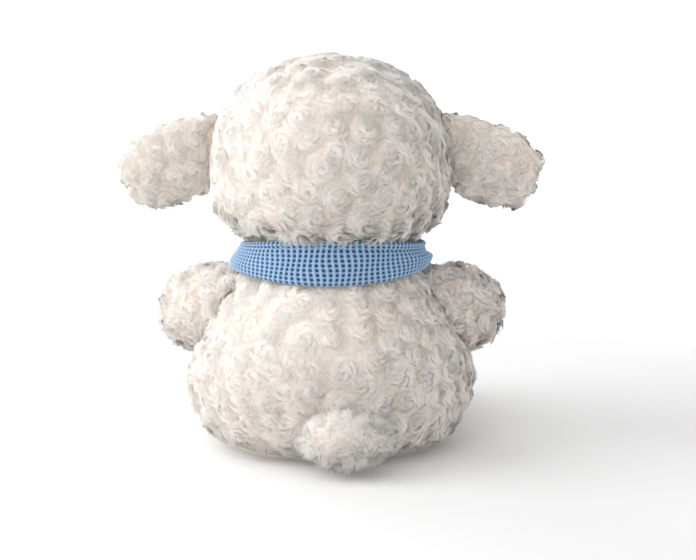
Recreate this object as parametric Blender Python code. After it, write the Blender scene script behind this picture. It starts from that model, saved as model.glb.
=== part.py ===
"""A seated plush sheep: sewn skins, stuffing, plastic eyes and a knotted knit scarf.

Metres, +Z up. The sheep faces -Y and rests on its flat seat panel, whose middle is the origin.
"""

from math import cos, pi, radians, sin, sqrt

import bmesh
import bpy
import numpy as np
from mathutils import Matrix, Vector

# Fabric, filling and clearances
SKIN_WALL = 0.0020  # backed plush, without its pile
GAP = 0.0004  # between neighbouring pieces
ROOT_GAP = 0.0005  # between a limb and the body that it swings on
CORE_SET_BACK = 0.0008  # of a limb's stuffing, behind the edge of its skin
OVERRUN = 0.006  # how far a cut runs past what it cuts

# Where the head meets the body: every height from the collar up is set from here
NECK_HEIGHT = 0.121
NECK_RADIUS = 0.0380

# Body: height above the floor, width and depth of each ring that shapes it
PANEL_THICKNESS = 0.0020
SEAT_WIDTH = 0.118
SEAT_DEPTH = 0.088
HAUNCH_HEIGHT = 0.0115
HAUNCH_WIDTH = 0.147
HAUNCH_DEPTH = 0.124
BELLY_HEIGHT = 0.038
BELLY_WIDTH = 0.167
BELLY_DEPTH = 0.144
CHEST_HEIGHT = 0.066
CHEST_RADIUS = 0.0740
RIB_HEIGHT = 0.086
RIB_RADIUS = 0.0640
COLLAR_HEIGHT = NECK_HEIGHT - 0.018
COLLAR_RADIUS = 0.0510
THROAT_HEIGHT = NECK_HEIGHT - 0.007
THROAT_RADIUS = 0.0450

# Head: a round form turned about the neck's own axis
JAW_HEIGHT = NECK_HEIGHT + 0.009
JAW_RADIUS = 0.0545
CHEEK_HEIGHT = NECK_HEIGHT + 0.0185
CHEEK_RADIUS = 0.0648
HEAD_WIDEST_HEIGHT = NECK_HEIGHT + 0.041
HEAD_RADIUS = 0.0680
TEMPLE_HEIGHT = NECK_HEIGHT + 0.067
TEMPLE_RADIUS = 0.0640
BROW_HEIGHT = NECK_HEIGHT + 0.086
BROW_RADIUS = 0.0515
CROWN_HEIGHT = NECK_HEIGHT + 0.0985
CROWN_RADIUS = 0.0320
HEAD_TOP_HEIGHT = NECK_HEIGHT + 0.104
HEAD_TOP_RADIUS = 0.0080

# Face panel and muzzle
FACE_WIDTH = 0.078
FACE_HEIGHT = 0.068
FACE_REACH = 0.0720  # from the neck's axis to the front of the panel
FACE_DEPTH = 0.048  # front to back of the form that gives the panel its curve
FACE_LIFT = NECK_HEIGHT + 0.039  # height of its middle
MUZZLE_WIDTH = 0.046
MUZZLE_HEIGHT = 0.032
MUZZLE_DEPTH = 0.034
MUZZLE_REACH = 0.0860
MUZZLE_LIFT = NECK_HEIGHT + 0.025
NOSE_WIDTH = 0.0130
NOSE_HEIGHT = 0.0080
NOSE_DEPTH = 0.0050
NOSE_LIFT = NECK_HEIGHT + 0.032
MOUTH_WIDTH = 0.0180
MOUTH_DROP = 0.0045
MOUTH_LIFT = NECK_HEIGHT + 0.023
THREAD_RADIUS = 0.0006

# Eyes: a domed head on a stem, held by a washer behind the skin
EYE_RADIUS = 0.0050
EYE_DOME = 0.0036
# Height and radius of the rings of the eye's domed head
EYE_RING_SHARES = ((0.0, 0.86), (0.22, 1.0), (0.55, 0.86), (0.85, 0.52), (1.0, 0.12))
EYE_SPREAD = 0.0220  # from the middle of the face to each eye
EYE_LIFT = NECK_HEIGHT + 0.047
STEM_RADIUS = 0.0016
STEM_LENGTH = 0.0115
WASHER_RADIUS = 0.0060
WASHER_THICKNESS = 0.0012

HINGE_STAND_OFF = 0.0022  # from a seam's hinge line to the fabric that it is sewn to

# Ears: flat lobes that hang a little from a seam on the side of the head
EAR_ROOT_HEIGHT = NECK_HEIGHT + 0.0495
EAR_LENGTH = 0.0515
EAR_DROOP = radians(15.0)
EAR_ROOT_WIDTH = 0.0450
EAR_WIDTH = 0.0485
EAR_THICKNESS = 0.0170
EAR_SEAM_THICKNESS = 0.0022
EAR_EDGE = 0.0015  # from the hinge line to the ear's sewn edge
EAR_WALL = 0.0007
EAR_LINING_THICKNESS = 0.0012
EAR_LINING_SHARE = 0.62  # of the ear's length and width
EAR_LINING_PLACE_SHARE = 0.52  # of the ear's length, from its seam
EAR_LINING_SINK_SHARE = 0.16  # of the ear's thickness, from its front face
# Shares of the ear's length, width and thickness at each ring past the seam
EAR_RING_SHARES = (
    (0.12, 0.50, 0.36),
    (0.40, 0.50, 0.50),
    (0.70, 0.49, 0.48),
    (0.90, 0.39, 0.36),
    (1.00, 0.18, 0.16),
)

# Arms: fat stubs from the back half of the shoulders
ARM_ROOT_RADIUS = 0.0155
ARM_SHOULDER_RADIUS = 0.0200
ARM_RADIUS = 0.0240
ARM_PAW_RADIUS = 0.0225
ARM_REACH = 0.0825  # from the neck's axis to the middle of the paw
ARM_ROOT_LIFT = 0.0890
ARM_PAW_LIFT = 0.0760
ARM_HINGE_HEIGHT = 0.1010
ARM_ROOT_TURN = radians(13.0)  # of the shoulder seam, towards the back
ARM_PAW_TURN = radians(-11.0)  # of the paw, towards the front
ARM_TIP_SHARE = 0.75  # how far the paw's round end reaches, of its radius
ARM_RING_SHARES = ((0.0, 0.0), (0.38, 0.12), (0.74, 0.10), (1.0, 0.0))  # place and bow
ARM_SWING = radians(40.0)

# Legs: short stubs straight forward along the floor
LEG_RADIUS = 0.0240
LEG_PAW_RADIUS = 0.0230
LEG_SPREAD = 0.0350  # from the middle to the root of each leg
LEG_SPLAY = radians(7.0)
LEG_REACH = 0.1000  # from the neck's axis to the middle of the paw
LEG_FLOOR_GAP = 0.0006
LEG_HINGE_HEIGHT = 0.0465
LEG_TIP_SHARE = 0.55
LEG_RING_SHARES = ((0.0, 0.82), (0.35, 0.90), (0.7, 1.0))  # place and radius of each ring
LEG_SWING = radians(35.0)
SOLE_RADIUS = 0.0165
SOLE_THICKNESS = 0.0012
PAD_SHARES = ((0.0, 1.0), (0.55, 0.92), (1.0, 0.55))  # height and size of a domed pad's rings

# Tail: a round tuft on the back, low and a little to one side
TAIL_WIDTH = 0.0480
TAIL_DEPTH = 0.0360
TAIL_HEIGHT = 0.0300
TAIL_REACH = 0.0725  # from the neck's axis to its middle
TAIL_OFFSET = -0.0090
TAIL_FLOOR_GAP = 0.0065
TAIL_SEAM_SHARE = 0.92  # of the tail's height, up to the top of its seam
TAIL_SWING = radians(30.0)

# Pellet bag in the seat
BAG_WIDTH = 0.108
BAG_DEPTH = 0.078
BAG_HEIGHT = 0.046
BAG_SINK = 0.012  # how far the bag's middle lies below half its height

# Scarf: a band that is wide behind and gathered in front, a knot and two ends
SCARF_THICKNESS = 0.0030
SCARF_SWELL_SHARE = 1.4  # how far its folds stand out, of its thickness
SCARF_GATHER = 2.4  # how quickly the band narrows towards the front
# Place up the band and how far it stands out, of its thickness, at each fold
SCARF_FOLD_SHARES = ((0.0, 1.0), (0.2, 1.35), (0.45, 1.05), (0.7, SCARF_SWELL_SHARE), (1.0, 1.0))
SCARF_FIT = 0.0007  # from its lower edge to the shoulders
SCARF_HEAD_ROOM = 0.0018
SCARF_BACK_TOP = NECK_HEIGHT + 0.0085
SCARF_BACK_BOTTOM = NECK_HEIGHT - 0.018
SCARF_FRONT_TOP = NECK_HEIGHT - 0.0040
SCARF_FRONT_BOTTOM = NECK_HEIGHT - 0.0140
KNOT_WIDTH = 0.0260
KNOT_HEIGHT = 0.0210
KNOT_DEPTH = 0.0130
KNOT_SHARES = ((0.0, 0.72), (0.22, 0.96), (0.5, 1.0), (0.78, 0.82), (1.0, 0.45))  # depth, size
END_LENGTH = 0.0330
END_ROOT_WIDTH = 0.0090
END_WIDTH = 0.0210
END_THICKNESS = 0.0032
LIP_SHARE = 0.55  # how far an end's upper lip stands above its hinge, of its thickness
END_SPREAD = 0.0010  # from the knot's middle to the inner edge of each end
END_STAND_OFF = 0.0016  # from the chest
END_DROP_SHARES = (0.0, 0.3, 0.65, 1.0)  # of its length, down to each of an end's sections
END_THICKNESS_SHARES = (1.0, 1.0, 1.0, 0.8)
END_LIP_THICKNESS_SHARE = 0.5
# Place across an end and half thickness, in order round its section, with two soft folds
END_SECTION_SHARES = (
    (-1.0, 0.2),
    (-0.5, 1.0),
    (0.0, 0.3),
    (0.5, 1.0),
    (1.0, 0.2),
    (0.5, -0.5),
    (0.0, -1.0),
    (-0.5, -0.5),
)

# Neck thread in the groove between body and head
NECK_THREAD_RADIUS = 0.0007

# How finely the forms are divided
BODY_SIDES = 24
LIMB_SIDES = 14
SMALL_SIDES = 12
SCARF_SIDES = 40
STEPS_PER_RING = 2
BAG_RINGS = 9
FACE_RINGS = 11
MUZZLE_RINGS = 9
NOSE_RINGS = 7
TAIL_RINGS = 8
THREAD_SIDES = 6
MOUTH_POINTS = 9
TIP_ANGLES = (radians(30), radians(58), radians(80))  # of the rings that round off a limb
SMOOTH_ANGLE = radians(50)  # an edge that bends more than this stays crisp
SCARF_SMOOTH_ANGLE = radians(40)

UP = Vector((0.0, 0.0, 1.0))
BACK = Vector((0.0, 1.0, 0.0))

for old in list(bpy.data.objects):
    bpy.data.objects.remove(old)


def fabric(name, colour, roughness):
    made = bpy.data.materials.new(name)
    made.use_nodes = True
    shader = made.node_tree.nodes["Principled BSDF"]
    shader.inputs["Base Color"].default_value = (*colour, 1.0)
    shader.inputs["Roughness"].default_value = roughness
    shader.inputs["Metallic"].default_value = 0.0
    return made


WOOL = fabric("curly_wool_plush", (0.87, 0.84, 0.79), 0.95)
TUFT = fabric("tail_tuft_plush", (0.90, 0.88, 0.84), 0.95)
SHORT_PILE = fabric("short_pile_plush", (0.86, 0.77, 0.68), 0.90)
LINING = fabric("ear_lining_plush", (0.85, 0.68, 0.61), 0.90)
SEAT_CLOTH = fabric("seat_cloth", (0.82, 0.80, 0.75), 0.90)
FILLING = fabric("polyester_filling", (0.92, 0.92, 0.90), 0.95)
PELLETS = fabric("pellet_bag_cloth", (0.75, 0.75, 0.72), 0.90)
EYE_PLASTIC = fabric("eye_plastic", (0.015, 0.012, 0.010), 0.12)
WASHER_PLASTIC = fabric("washer_plastic", (0.80, 0.80, 0.80), 0.45)
NOSE_THREAD = fabric("nose_thread", (0.35, 0.20, 0.17), 0.70)
SEWING_THREAD = fabric("sewing_thread", (0.85, 0.82, 0.76), 0.75)
SCARF_KNIT = fabric("scarf_knit", (0.24, 0.42, 0.70), 0.88)


def spline_rows(rows, steps=STEPS_PER_RING):
    """Rows of numbers with a smooth curve's points set between them."""
    rows = np.array(rows, float)
    before = np.vstack([2 * rows[0] - rows[1], rows[:-1]])
    after = np.vstack([rows[1:], 2 * rows[-1] - rows[-2]])
    slope = (after - before) / 2
    made = []
    for i in range(len(rows) - 1):
        for t in np.arange(steps) / steps:
            made.append(
                rows[i] * (2 * t**3 - 3 * t**2 + 1)
                + slope[i] * (t**3 - 2 * t**2 + t)
                + rows[i + 1] * (3 * t**2 - 2 * t**3)
                + slope[i + 1] * (t**3 - t**2)
            )
    return np.array(made + [rows[-1]])


def ring_frame(centre, across, along):
    """A matrix that lays the unit circle on a ring with these two half-axes."""
    normal = across.cross(along).normalized()
    frame = Matrix.Identity(4)
    for column, axis in enumerate((across, along, normal, centre)):
        for row in range(3):
            frame[row][column] = axis[row]
    return frame


def swept_mesh(name, frames, sides, close_start=True, close_end=True, inset=0.0):
    """A tube through the rings, made by extruding the first ring from one to the next."""
    mesh = bmesh.new()
    verts = bmesh.ops.create_circle(mesh, segments=sides, radius=1.0)["verts"]
    first_edges = edges = list(mesh.edges)
    bmesh.ops.transform(mesh, matrix=frames[0], verts=verts)
    for before, after in zip(frames, frames[1:]):
        grown = bmesh.ops.extrude_edge_only(mesh, edges=edges)["geom"]
        verts = [g for g in grown if isinstance(g, bmesh.types.BMVert)]
        edges = [g for g in grown if isinstance(g, bmesh.types.BMEdge)]
        bmesh.ops.transform(mesh, matrix=after @ before.inverted(), verts=verts)
    start_cap = bmesh.ops.holes_fill(mesh, edges=first_edges)["faces"]
    end_cap = bmesh.ops.holes_fill(mesh, edges=edges)["faces"]
    bmesh.ops.recalc_face_normals(mesh, faces=mesh.faces)
    inwards = [vert.normal * (inset * vert.calc_shell_factor()) for vert in mesh.verts]
    for vert, move in zip(mesh.verts, inwards):
        vert.co -= move
    if not close_start:
        bmesh.ops.delete(mesh, geom=start_cap, context="FACES_ONLY")
    if not close_end:
        bmesh.ops.delete(mesh, geom=end_cap, context="FACES_ONLY")
    made = bpy.data.meshes.new(name)
    mesh.to_mesh(made)
    mesh.free()
    made.shade_smooth()
    made.set_sharp_from_angle(angle=SMOOTH_ANGLE)
    return made


def add(name, mesh, material=None):
    made = bpy.data.objects.new(name, mesh)
    bpy.context.collection.objects.link(made)
    if material:
        mesh.materials.append(material)
    return made


def cutter(name, mesh, turn=None):
    """A shape that only cuts others, turned about a hinge line if asked."""
    made = add(name, mesh)
    made.hide_render = True
    made.display_type = "WIRE"
    if turn:
        made.matrix_world = turn
    return made


def cut(piece, *cutters):
    for tool in cutters:
        modifier = piece.modifiers.new("cut_by_" + tool.name, "BOOLEAN")
        modifier.operation = "DIFFERENCE"
        modifier.solver = "EXACT"
        modifier.object = tool
    return piece


def wall(piece, thickness):
    modifier = piece.modifiers.new("wall", "SOLIDIFY")
    modifier.thickness = thickness
    modifier.offset = -1.0
    modifier.use_even_offset = True
    return piece


def turn_about(point, axis, angle):
    place = Matrix.Translation(point)
    return place @ Matrix.Rotation(angle, 4, axis) @ place.inverted()


def joint_empty(name, point, pieces):
    """An empty on a joint's axis that carries the pieces that move on it."""
    made = bpy.data.objects.new(name, None)
    made.location = point
    bpy.context.collection.objects.link(made)
    bpy.context.view_layer.update()
    for piece in pieces:
        piece.parent = made
        piece.matrix_parent_inverse = made.matrix_world.inverted()


def mirrored(piece):
    """The same piece, with its cuts made, on the right side of the sheep."""
    depsgraph = bpy.context.evaluated_depsgraph_get()
    made = bpy.data.meshes.new_from_object(piece.evaluated_get(depsgraph))
    made.transform(Matrix.Scale(-1, 4, (1.0, 0.0, 0.0)))
    made.flip_normals()
    return add(piece.name.replace("left", "right"), made)


def add_both_sides(stem, point, pieces):
    """Hangs the left pieces on their hinge, and their mirror images on the right one."""
    opposite = Vector((-point.x, point.y, point.z))
    joint_empty(f"{stem}_right_hinge", opposite, [mirrored(piece) for piece in pieces])
    joint_empty(f"{stem}_left_hinge", point, pieces)


def upright_rings(rows):
    """Level rings from rows of height, half width and half depth."""
    frames = []
    for height, wide, deep in rows:
        across = Vector((wide, 0.0, 0.0))
        along = Vector((0.0, deep, 0.0))
        frames.append(ring_frame(UP * height, across, along))
    return frames


def ellipsoid_frames(centre, wide, deep, high, count):
    """Level rings of an ellipsoid given by its half-axes."""
    frames = []
    for i in range(count):
        latitude = pi * ((i + 0.5) / count - 0.5)
        middle = centre + UP * (high * sin(latitude))
        across = Vector((wide * cos(latitude), 0.0, 0.0))
        along = Vector((0.0, deep * cos(latitude), 0.0))
        frames.append(ring_frame(middle, across, along))
    return frames


# Body
BODY_BOTTOM = PANEL_THICKNESS + GAP
BODY_ROWS = spline_rows(
    [
        (BODY_BOTTOM, SEAT_WIDTH / 2, SEAT_DEPTH / 2),
        (HAUNCH_HEIGHT, HAUNCH_WIDTH / 2, HAUNCH_DEPTH / 2),
        (BELLY_HEIGHT, BELLY_WIDTH / 2, BELLY_DEPTH / 2),
        (CHEST_HEIGHT, CHEST_RADIUS, CHEST_RADIUS),
        (RIB_HEIGHT, RIB_RADIUS, RIB_RADIUS),
        (COLLAR_HEIGHT, COLLAR_RADIUS, COLLAR_RADIUS),
        (THROAT_HEIGHT, THROAT_RADIUS, THROAT_RADIUS),
        (NECK_HEIGHT - GAP, NECK_RADIUS, NECK_RADIUS),
    ]
)
HEAD_ROWS = spline_rows(
    [
        (NECK_HEIGHT + GAP, NECK_RADIUS),
        (JAW_HEIGHT, JAW_RADIUS),
        (CHEEK_HEIGHT, CHEEK_RADIUS),
        (HEAD_WIDEST_HEIGHT, HEAD_RADIUS),
        (TEMPLE_HEIGHT, TEMPLE_RADIUS),
        (BROW_HEIGHT, BROW_RADIUS),
        (CROWN_HEIGHT, CROWN_RADIUS),
        (HEAD_TOP_HEIGHT, HEAD_TOP_RADIUS),
    ]
)
HEAD_ROWS = np.column_stack([HEAD_ROWS, HEAD_ROWS[:, 1]])


def body_radius(height):
    """The body's half depth at a height, which is its radius above the chest."""
    return float(np.interp(height, BODY_ROWS[:, 0], BODY_ROWS[:, 2]))


def body_half_width(height):
    return float(np.interp(height, BODY_ROWS[:, 0], BODY_ROWS[:, 1]))


def head_radius(height):
    return float(np.interp(height, HEAD_ROWS[:, 0], HEAD_ROWS[:, 1]))


def make_body():
    skin_mesh = swept_mesh("body_skin", upright_rings(BODY_ROWS), BODY_SIDES, False, False)
    wall(add("body_skin", skin_mesh, WOOL), SKIN_WALL)

    panel_rows = [
        (0.0, SEAT_WIDTH / 2, SEAT_DEPTH / 2),
        (PANEL_THICKNESS, SEAT_WIDTH / 2, SEAT_DEPTH / 2),
    ]
    add("base_panel", swept_mesh("base_panel", upright_rings(panel_rows), BODY_SIDES), SEAT_CLOTH)

    core_mesh = swept_mesh(
        "body_stuffing", upright_rings(BODY_ROWS), BODY_SIDES, inset=SKIN_WALL + GAP
    )
    core = add("body_stuffing", core_mesh, FILLING)

    bag_middle = Vector((0.0, 0.0, BODY_BOTTOM + BAG_HEIGHT / 2 - BAG_SINK))
    bag_half = (BAG_WIDTH / 2, BAG_DEPTH / 2, BAG_HEIGHT / 2)
    bag_frames = ellipsoid_frames(bag_middle, *bag_half, BAG_RINGS)
    bag = add("pellet_bag", swept_mesh("pellet_bag", bag_frames, LIMB_SIDES), PELLETS)
    room_mesh = swept_mesh("bag_room", bag_frames, LIMB_SIDES, inset=-GAP)
    cut(core, cutter("bag_room", room_mesh))
    floor_rows = [
        (-BAG_HEIGHT, BELLY_WIDTH, BELLY_DEPTH),
        (BODY_BOTTOM, BELLY_WIDTH, BELLY_DEPTH),
    ]
    below = swept_mesh("below_seat", upright_rings(floor_rows), LIMB_SIDES)
    cut(bag, cutter("below_seat", below))


def body_room_mesh(gap):
    """The body's outside and the clearance that every limb keeps to it."""
    rows = BODY_ROWS.copy()
    rows[0, 0] = -OVERRUN
    return swept_mesh("body_room", upright_rings(rows), BODY_SIDES, inset=-gap)


def tapered_frames(points, radii, tip_share):
    """Rings square to a smooth path, with a rounded tip past its last point."""
    rows = spline_rows([(*point, radius) for point, radius in zip(points, radii)])
    path = [Vector(row[:3]) for row in rows]
    radius = [row[3] for row in rows]
    heading = (path[-1] - path[-2]).normalized()
    for angle in TIP_ANGLES:
        path.append(path[len(rows) - 1] + heading * (radii[-1] * tip_share * sin(angle)))
        radius.append(radii[-1] * cos(angle))
    frames = []
    for i, point in enumerate(path):
        ahead = path[min(i + 1, len(path) - 1)] - path[max(i - 1, 0)]
        ahead.normalize()
        across = UP.cross(ahead).normalized()
        along = ahead.cross(across).normalized()
        frames.append(ring_frame(point, across * radius[i], along * radius[i]))
    return frames


def swept_cutters(stem, mesh, point, axis, swing):
    """A neighbour's room as a piece on this hinge sees it at rest and at its limit."""
    at_rest = cutter(f"{stem}_at_rest", mesh)
    at_limit = cutter(f"{stem}_at_limit", mesh, turn_about(point, axis, -swing))
    return [at_rest, at_limit]


def make_limb(name, frames, skin_cutters, core_cutters, material, thickness=SKIN_WALL):
    """A sewn skin, open where it joins, round its own stuffing."""
    skin_mesh = swept_mesh(name + "_skin", frames, LIMB_SIDES, False, True)
    skin = wall(add(name + "_skin", skin_mesh, material), thickness)
    core_mesh = swept_mesh(name + "_stuffing", frames, LIMB_SIDES, inset=thickness + GAP)
    core = add(name + "_stuffing", core_mesh, FILLING)
    cut(skin, *skin_cutters)
    cut(core, *core_cutters)
    return [skin, core]


def arm_hinge():
    """The crease at the top of the left shoulder seam: a point on it and its direction."""
    outwards = Vector((cos(ARM_ROOT_TURN), sin(ARM_ROOT_TURN), 0.0))
    reach = body_radius(ARM_HINGE_HEIGHT) + HINGE_STAND_OFF
    return outwards * reach + UP * ARM_HINGE_HEIGHT, outwards.cross(UP).normalized()


def make_arms(body_room, core_room, scarf_room):
    root = Vector((cos(ARM_ROOT_TURN), sin(ARM_ROOT_TURN), 0.0))
    paw = Vector((cos(ARM_PAW_TURN), sin(ARM_PAW_TURN), 0.0))
    inside = root * (ARM_REACH - 2 * ARM_RADIUS)
    outside = paw * ARM_REACH

    def along(share, bow):
        flat = inside.lerp(outside, share)
        level = ARM_ROOT_LIFT + (ARM_PAW_LIFT - ARM_ROOT_LIFT) * share
        return flat + Vector((0.0, bow * ARM_RADIUS, 0.0)) + UP * level

    points = [along(*shares) for shares in ARM_RING_SHARES]
    radii = [ARM_ROOT_RADIUS, ARM_SHOULDER_RADIUS, ARM_RADIUS, ARM_PAW_RADIUS]
    point, axis = arm_hinge()
    rooms = swept_cutters("body_room_arm", body_room, point, axis, ARM_SWING)
    rooms += swept_cutters("scarf_room_arm", scarf_room, point, axis, ARM_SWING)
    frames = tapered_frames(points, radii, ARM_TIP_SHARE)
    pieces = make_limb("arm_left", frames, rooms, [core_room, rooms[2], rooms[3]], WOOL)
    add_both_sides("arm", point, pieces)


def leg_hinge():
    """The crease over the left leg: a point on it and its direction."""
    share = LEG_SPREAD / body_half_width(LEG_HINGE_HEIGHT)
    reach = body_radius(LEG_HINGE_HEIGHT) * sqrt(1 - share**2) + HINGE_STAND_OFF
    return Vector((LEG_SPREAD, -reach, LEG_HINGE_HEIGHT)), Vector((-1.0, 0.0, 0.0))


def make_legs(body_room, core_room):
    level = LEG_RADIUS + LEG_FLOOR_GAP
    heading = Vector((sin(LEG_SPLAY), -cos(LEG_SPLAY), 0.0))
    root = Vector((LEG_SPREAD, -BELLY_DEPTH / 4, level))
    length = (LEG_REACH + root.y) / cos(LEG_SPLAY)
    points = [root + heading * (length * place) for place, _ in LEG_RING_SHARES]
    points.append(root + heading * length)
    radii = [LEG_RADIUS * size for _, size in LEG_RING_SHARES]
    radii.append(LEG_PAW_RADIUS)
    point, axis = leg_hinge()
    rooms = swept_cutters("body_room_leg", body_room, point, axis, LEG_SWING)
    frames = tapered_frames(points, radii, LEG_TIP_SHARE)
    pieces = make_limb("leg_left", frames, rooms, [core_room], WOOL)
    leg_room = cutter("leg_room", swept_mesh("leg_room", frames, LIMB_SIDES, inset=-GAP))
    middle = points[-1] + heading * (LEG_PAW_RADIUS * LEG_TIP_SHARE)
    across = UP.cross(heading).normalized()
    frames = []
    inside = -SOLE_RADIUS / 2
    pad_rings = [(inside, 1.0)] + [(SOLE_THICKNESS * depth, size) for depth, size in PAD_SHARES]
    for reach, size in pad_rings:
        radius = SOLE_RADIUS * size
        frames.append(ring_frame(middle + heading * reach, across * radius, UP * radius))
    sole = add("sole_left", swept_mesh("sole_left", frames, LIMB_SIDES), SHORT_PILE)
    cut(sole, leg_room)
    add_both_sides("leg", point, pieces + [sole])


def tail_hinge():
    """The crease at the top of the tail's seam: a point on it and its direction."""
    height = TAIL_FLOOR_GAP + TAIL_HEIGHT * TAIL_SEAM_SHARE
    point = Vector((TAIL_OFFSET, body_radius(height) + HINGE_STAND_OFF, height))
    return point, Vector((1.0, 0.0, 0.0))


def make_tail(body_room, core_room):
    middle = Vector((TAIL_OFFSET, TAIL_REACH, TAIL_FLOOR_GAP + TAIL_HEIGHT / 2))
    point, axis = tail_hinge()
    rooms = swept_cutters("body_room_tail", body_room, point, axis, TAIL_SWING)
    wide, deep, high = TAIL_WIDTH / 2, TAIL_DEPTH / 2, TAIL_HEIGHT / 2
    frames = []
    for i in range(TAIL_RINGS):
        latitude = pi * ((i + 0.5) / TAIL_RINGS - 0.5)
        place = middle + Vector((0.0, deep * sin(latitude), 0.0))
        across = Vector((-wide * cos(latitude), 0.0, 0.0))
        frames.append(ring_frame(place, across, UP * (high * cos(latitude))))
    joint_empty("tail_hinge", point, make_limb("tail", frames, rooms, [core_room], TUFT))


# Scarf
def scarf_inner(height):
    """The scarf's inside, which stands clear of the shoulders and of the jaw."""
    shoulder = body_radius(SCARF_BACK_BOTTOM) + SCARF_FIT
    jaw = head_radius(SCARF_BACK_TOP) + SCARF_HEAD_ROOM
    share = (height - SCARF_BACK_BOTTOM) / (SCARF_BACK_TOP - SCARF_BACK_BOTTOM)
    return shoulder + (jaw - shoulder) * share


def scarf_edges(turn):
    """Bottom and top of the band at an angle from straight behind."""
    wide = ((1 + cos(turn)) / 2) ** SCARF_GATHER
    bottom = SCARF_FRONT_BOTTOM + (SCARF_BACK_BOTTOM - SCARF_FRONT_BOTTOM) * wide
    top = SCARF_FRONT_TOP + (SCARF_BACK_TOP - SCARF_FRONT_TOP) * wide
    return bottom, top


def make_scarf_band():
    """A ring of upright sections, each extruded to the next and closed on the first."""
    mesh = bmesh.new()
    rims = []
    for i in range(SCARF_SIDES):
        turn = 2 * pi * i / SCARF_SIDES
        bottom, top = scarf_edges(turn)
        outwards = Vector((sin(turn), cos(turn), 0.0))
        ring = []
        for rise, out in ((0.0, 0.0), *SCARF_FOLD_SHARES, (1.0, 0.0)):
            height = bottom + (top - bottom) * rise
            reach = scarf_inner(height) + SCARF_THICKNESS * out
            ring.append(mesh.verts.new(outwards * reach + UP * height))
        rims.append([mesh.edges.new(pair) for pair in zip(ring, ring[1:] + ring[:1])])
    for near, far in zip(rims, rims[1:] + rims[:1]):
        bmesh.ops.bridge_loops(mesh, edges=near + far)
    bmesh.ops.recalc_face_normals(mesh, faces=mesh.faces)
    made = bpy.data.meshes.new("scarf_band")
    mesh.to_mesh(made)
    mesh.free()
    made.shade_smooth()
    made.set_sharp_from_angle(angle=SCARF_SMOOTH_ANGLE)
    return add("scarf_band", made, SCARF_KNIT)


def scarf_outer(height):
    """The furthest that the band's folds stand from the neck's axis."""
    return scarf_inner(height) + SCARF_THICKNESS * SCARF_SWELL_SHARE


def scarf_room_mesh():
    """The space the scarf may take as it turns about the neck."""
    low = SCARF_BACK_BOTTOM - ROOT_GAP
    high = SCARF_BACK_TOP + ROOT_GAP
    reach = max(scarf_outer(low), scarf_outer(high)) + ROOT_GAP
    rows = [(low, reach, reach), (high, reach, reach)]
    return swept_mesh("scarf_room", upright_rings(rows), BODY_SIDES)


def make_scarf(band):
    middle_height = (SCARF_FRONT_BOTTOM + SCARF_FRONT_TOP) / 2
    seat = scarf_outer(SCARF_FRONT_TOP) + GAP
    knot_frames = []
    for depth, size in KNOT_SHARES:
        place = Vector((0.0, -seat - KNOT_DEPTH * depth, middle_height))
        across = Vector((KNOT_WIDTH / 2 * size, 0.0, 0.0))
        knot_frames.append(ring_frame(place, across, UP * (KNOT_HEIGHT / 2 * size)))
    knot = add("scarf_knot", swept_mesh("scarf_knot", knot_frames, SMALL_SIDES), SCARF_KNIT)

    knot_bottom = middle_height - KNOT_HEIGHT / 2
    hinge_height = knot_bottom - GAP - END_THICKNESS / 2
    hinge_reach = seat + KNOT_DEPTH / 2
    low_height = hinge_height - END_LENGTH
    low_reach = body_radius(low_height) + END_STAND_OFF + END_THICKNESS
    drop_shares = (-LIP_SHARE * END_THICKNESS / END_LENGTH, *END_DROP_SHARES)
    thickness_shares = (END_LIP_THICKNESS_SHARE, *END_THICKNESS_SHARES)
    fall = Vector((0.0, low_reach - hinge_reach, END_LENGTH)).normalized()
    stations = []
    for drop, thick in zip(drop_shares, thickness_shares):
        half_width = (END_ROOT_WIDTH + (END_WIDTH - END_ROOT_WIDTH) * max(drop, 0.0)) / 2
        reach = hinge_reach + (low_reach - hinge_reach) * drop
        height = hinge_height - END_LENGTH * drop
        place = Vector((END_SPREAD + half_width, -reach, height))
        across = Vector((half_width, 0.0, 0.0))
        outwards = Vector((0.0, -fall.z, -fall.y)) * (END_THICKNESS / 2 * thick)
        stations.append((place, across, outwards))
    end = end_strip("scarf_end_left", stations)
    add_both_sides("scarf_end", stations[1][0], [end])
    joint_empty("scarf_turn_axis", Vector((0.0, 0.0, middle_height)), [band, knot])


def end_strip(name, stations):
    """A strip with two soft folds, through stations of middle, half width and half thickness."""
    mesh = bmesh.new()
    rims = []
    for place, wide, thick in stations:
        ring = [mesh.verts.new(place + wide * a + thick * b) for a, b in END_SECTION_SHARES]
        rims.append([mesh.edges.new(pair) for pair in zip(ring, ring[1:] + ring[:1])])
    for near, far in zip(rims, rims[1:]):
        bmesh.ops.bridge_loops(mesh, edges=near + far)
    bmesh.ops.holes_fill(mesh, edges=rims[0] + rims[-1])
    bmesh.ops.recalc_face_normals(mesh, faces=mesh.faces)
    made = bpy.data.meshes.new(name)
    mesh.to_mesh(made)
    mesh.free()
    return add(name, made, SCARF_KNIT)


# Head
def face_half():
    return (FACE_WIDTH / 2, FACE_DEPTH / 2, FACE_HEIGHT / 2)


def face_middle():
    return Vector((0.0, -FACE_REACH + FACE_DEPTH / 2, FACE_LIFT))


def face_front(across, height):
    """How far forward the face panel stands at a place."""
    wide, deep, high = face_half()
    share = 1 - (across / wide) ** 2 - ((height - FACE_LIFT) / high) ** 2
    return -face_middle().y + deep * sqrt(max(share, 0.0))


def muzzle_half():
    return (MUZZLE_WIDTH / 2, MUZZLE_DEPTH / 2, MUZZLE_HEIGHT / 2)


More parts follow.
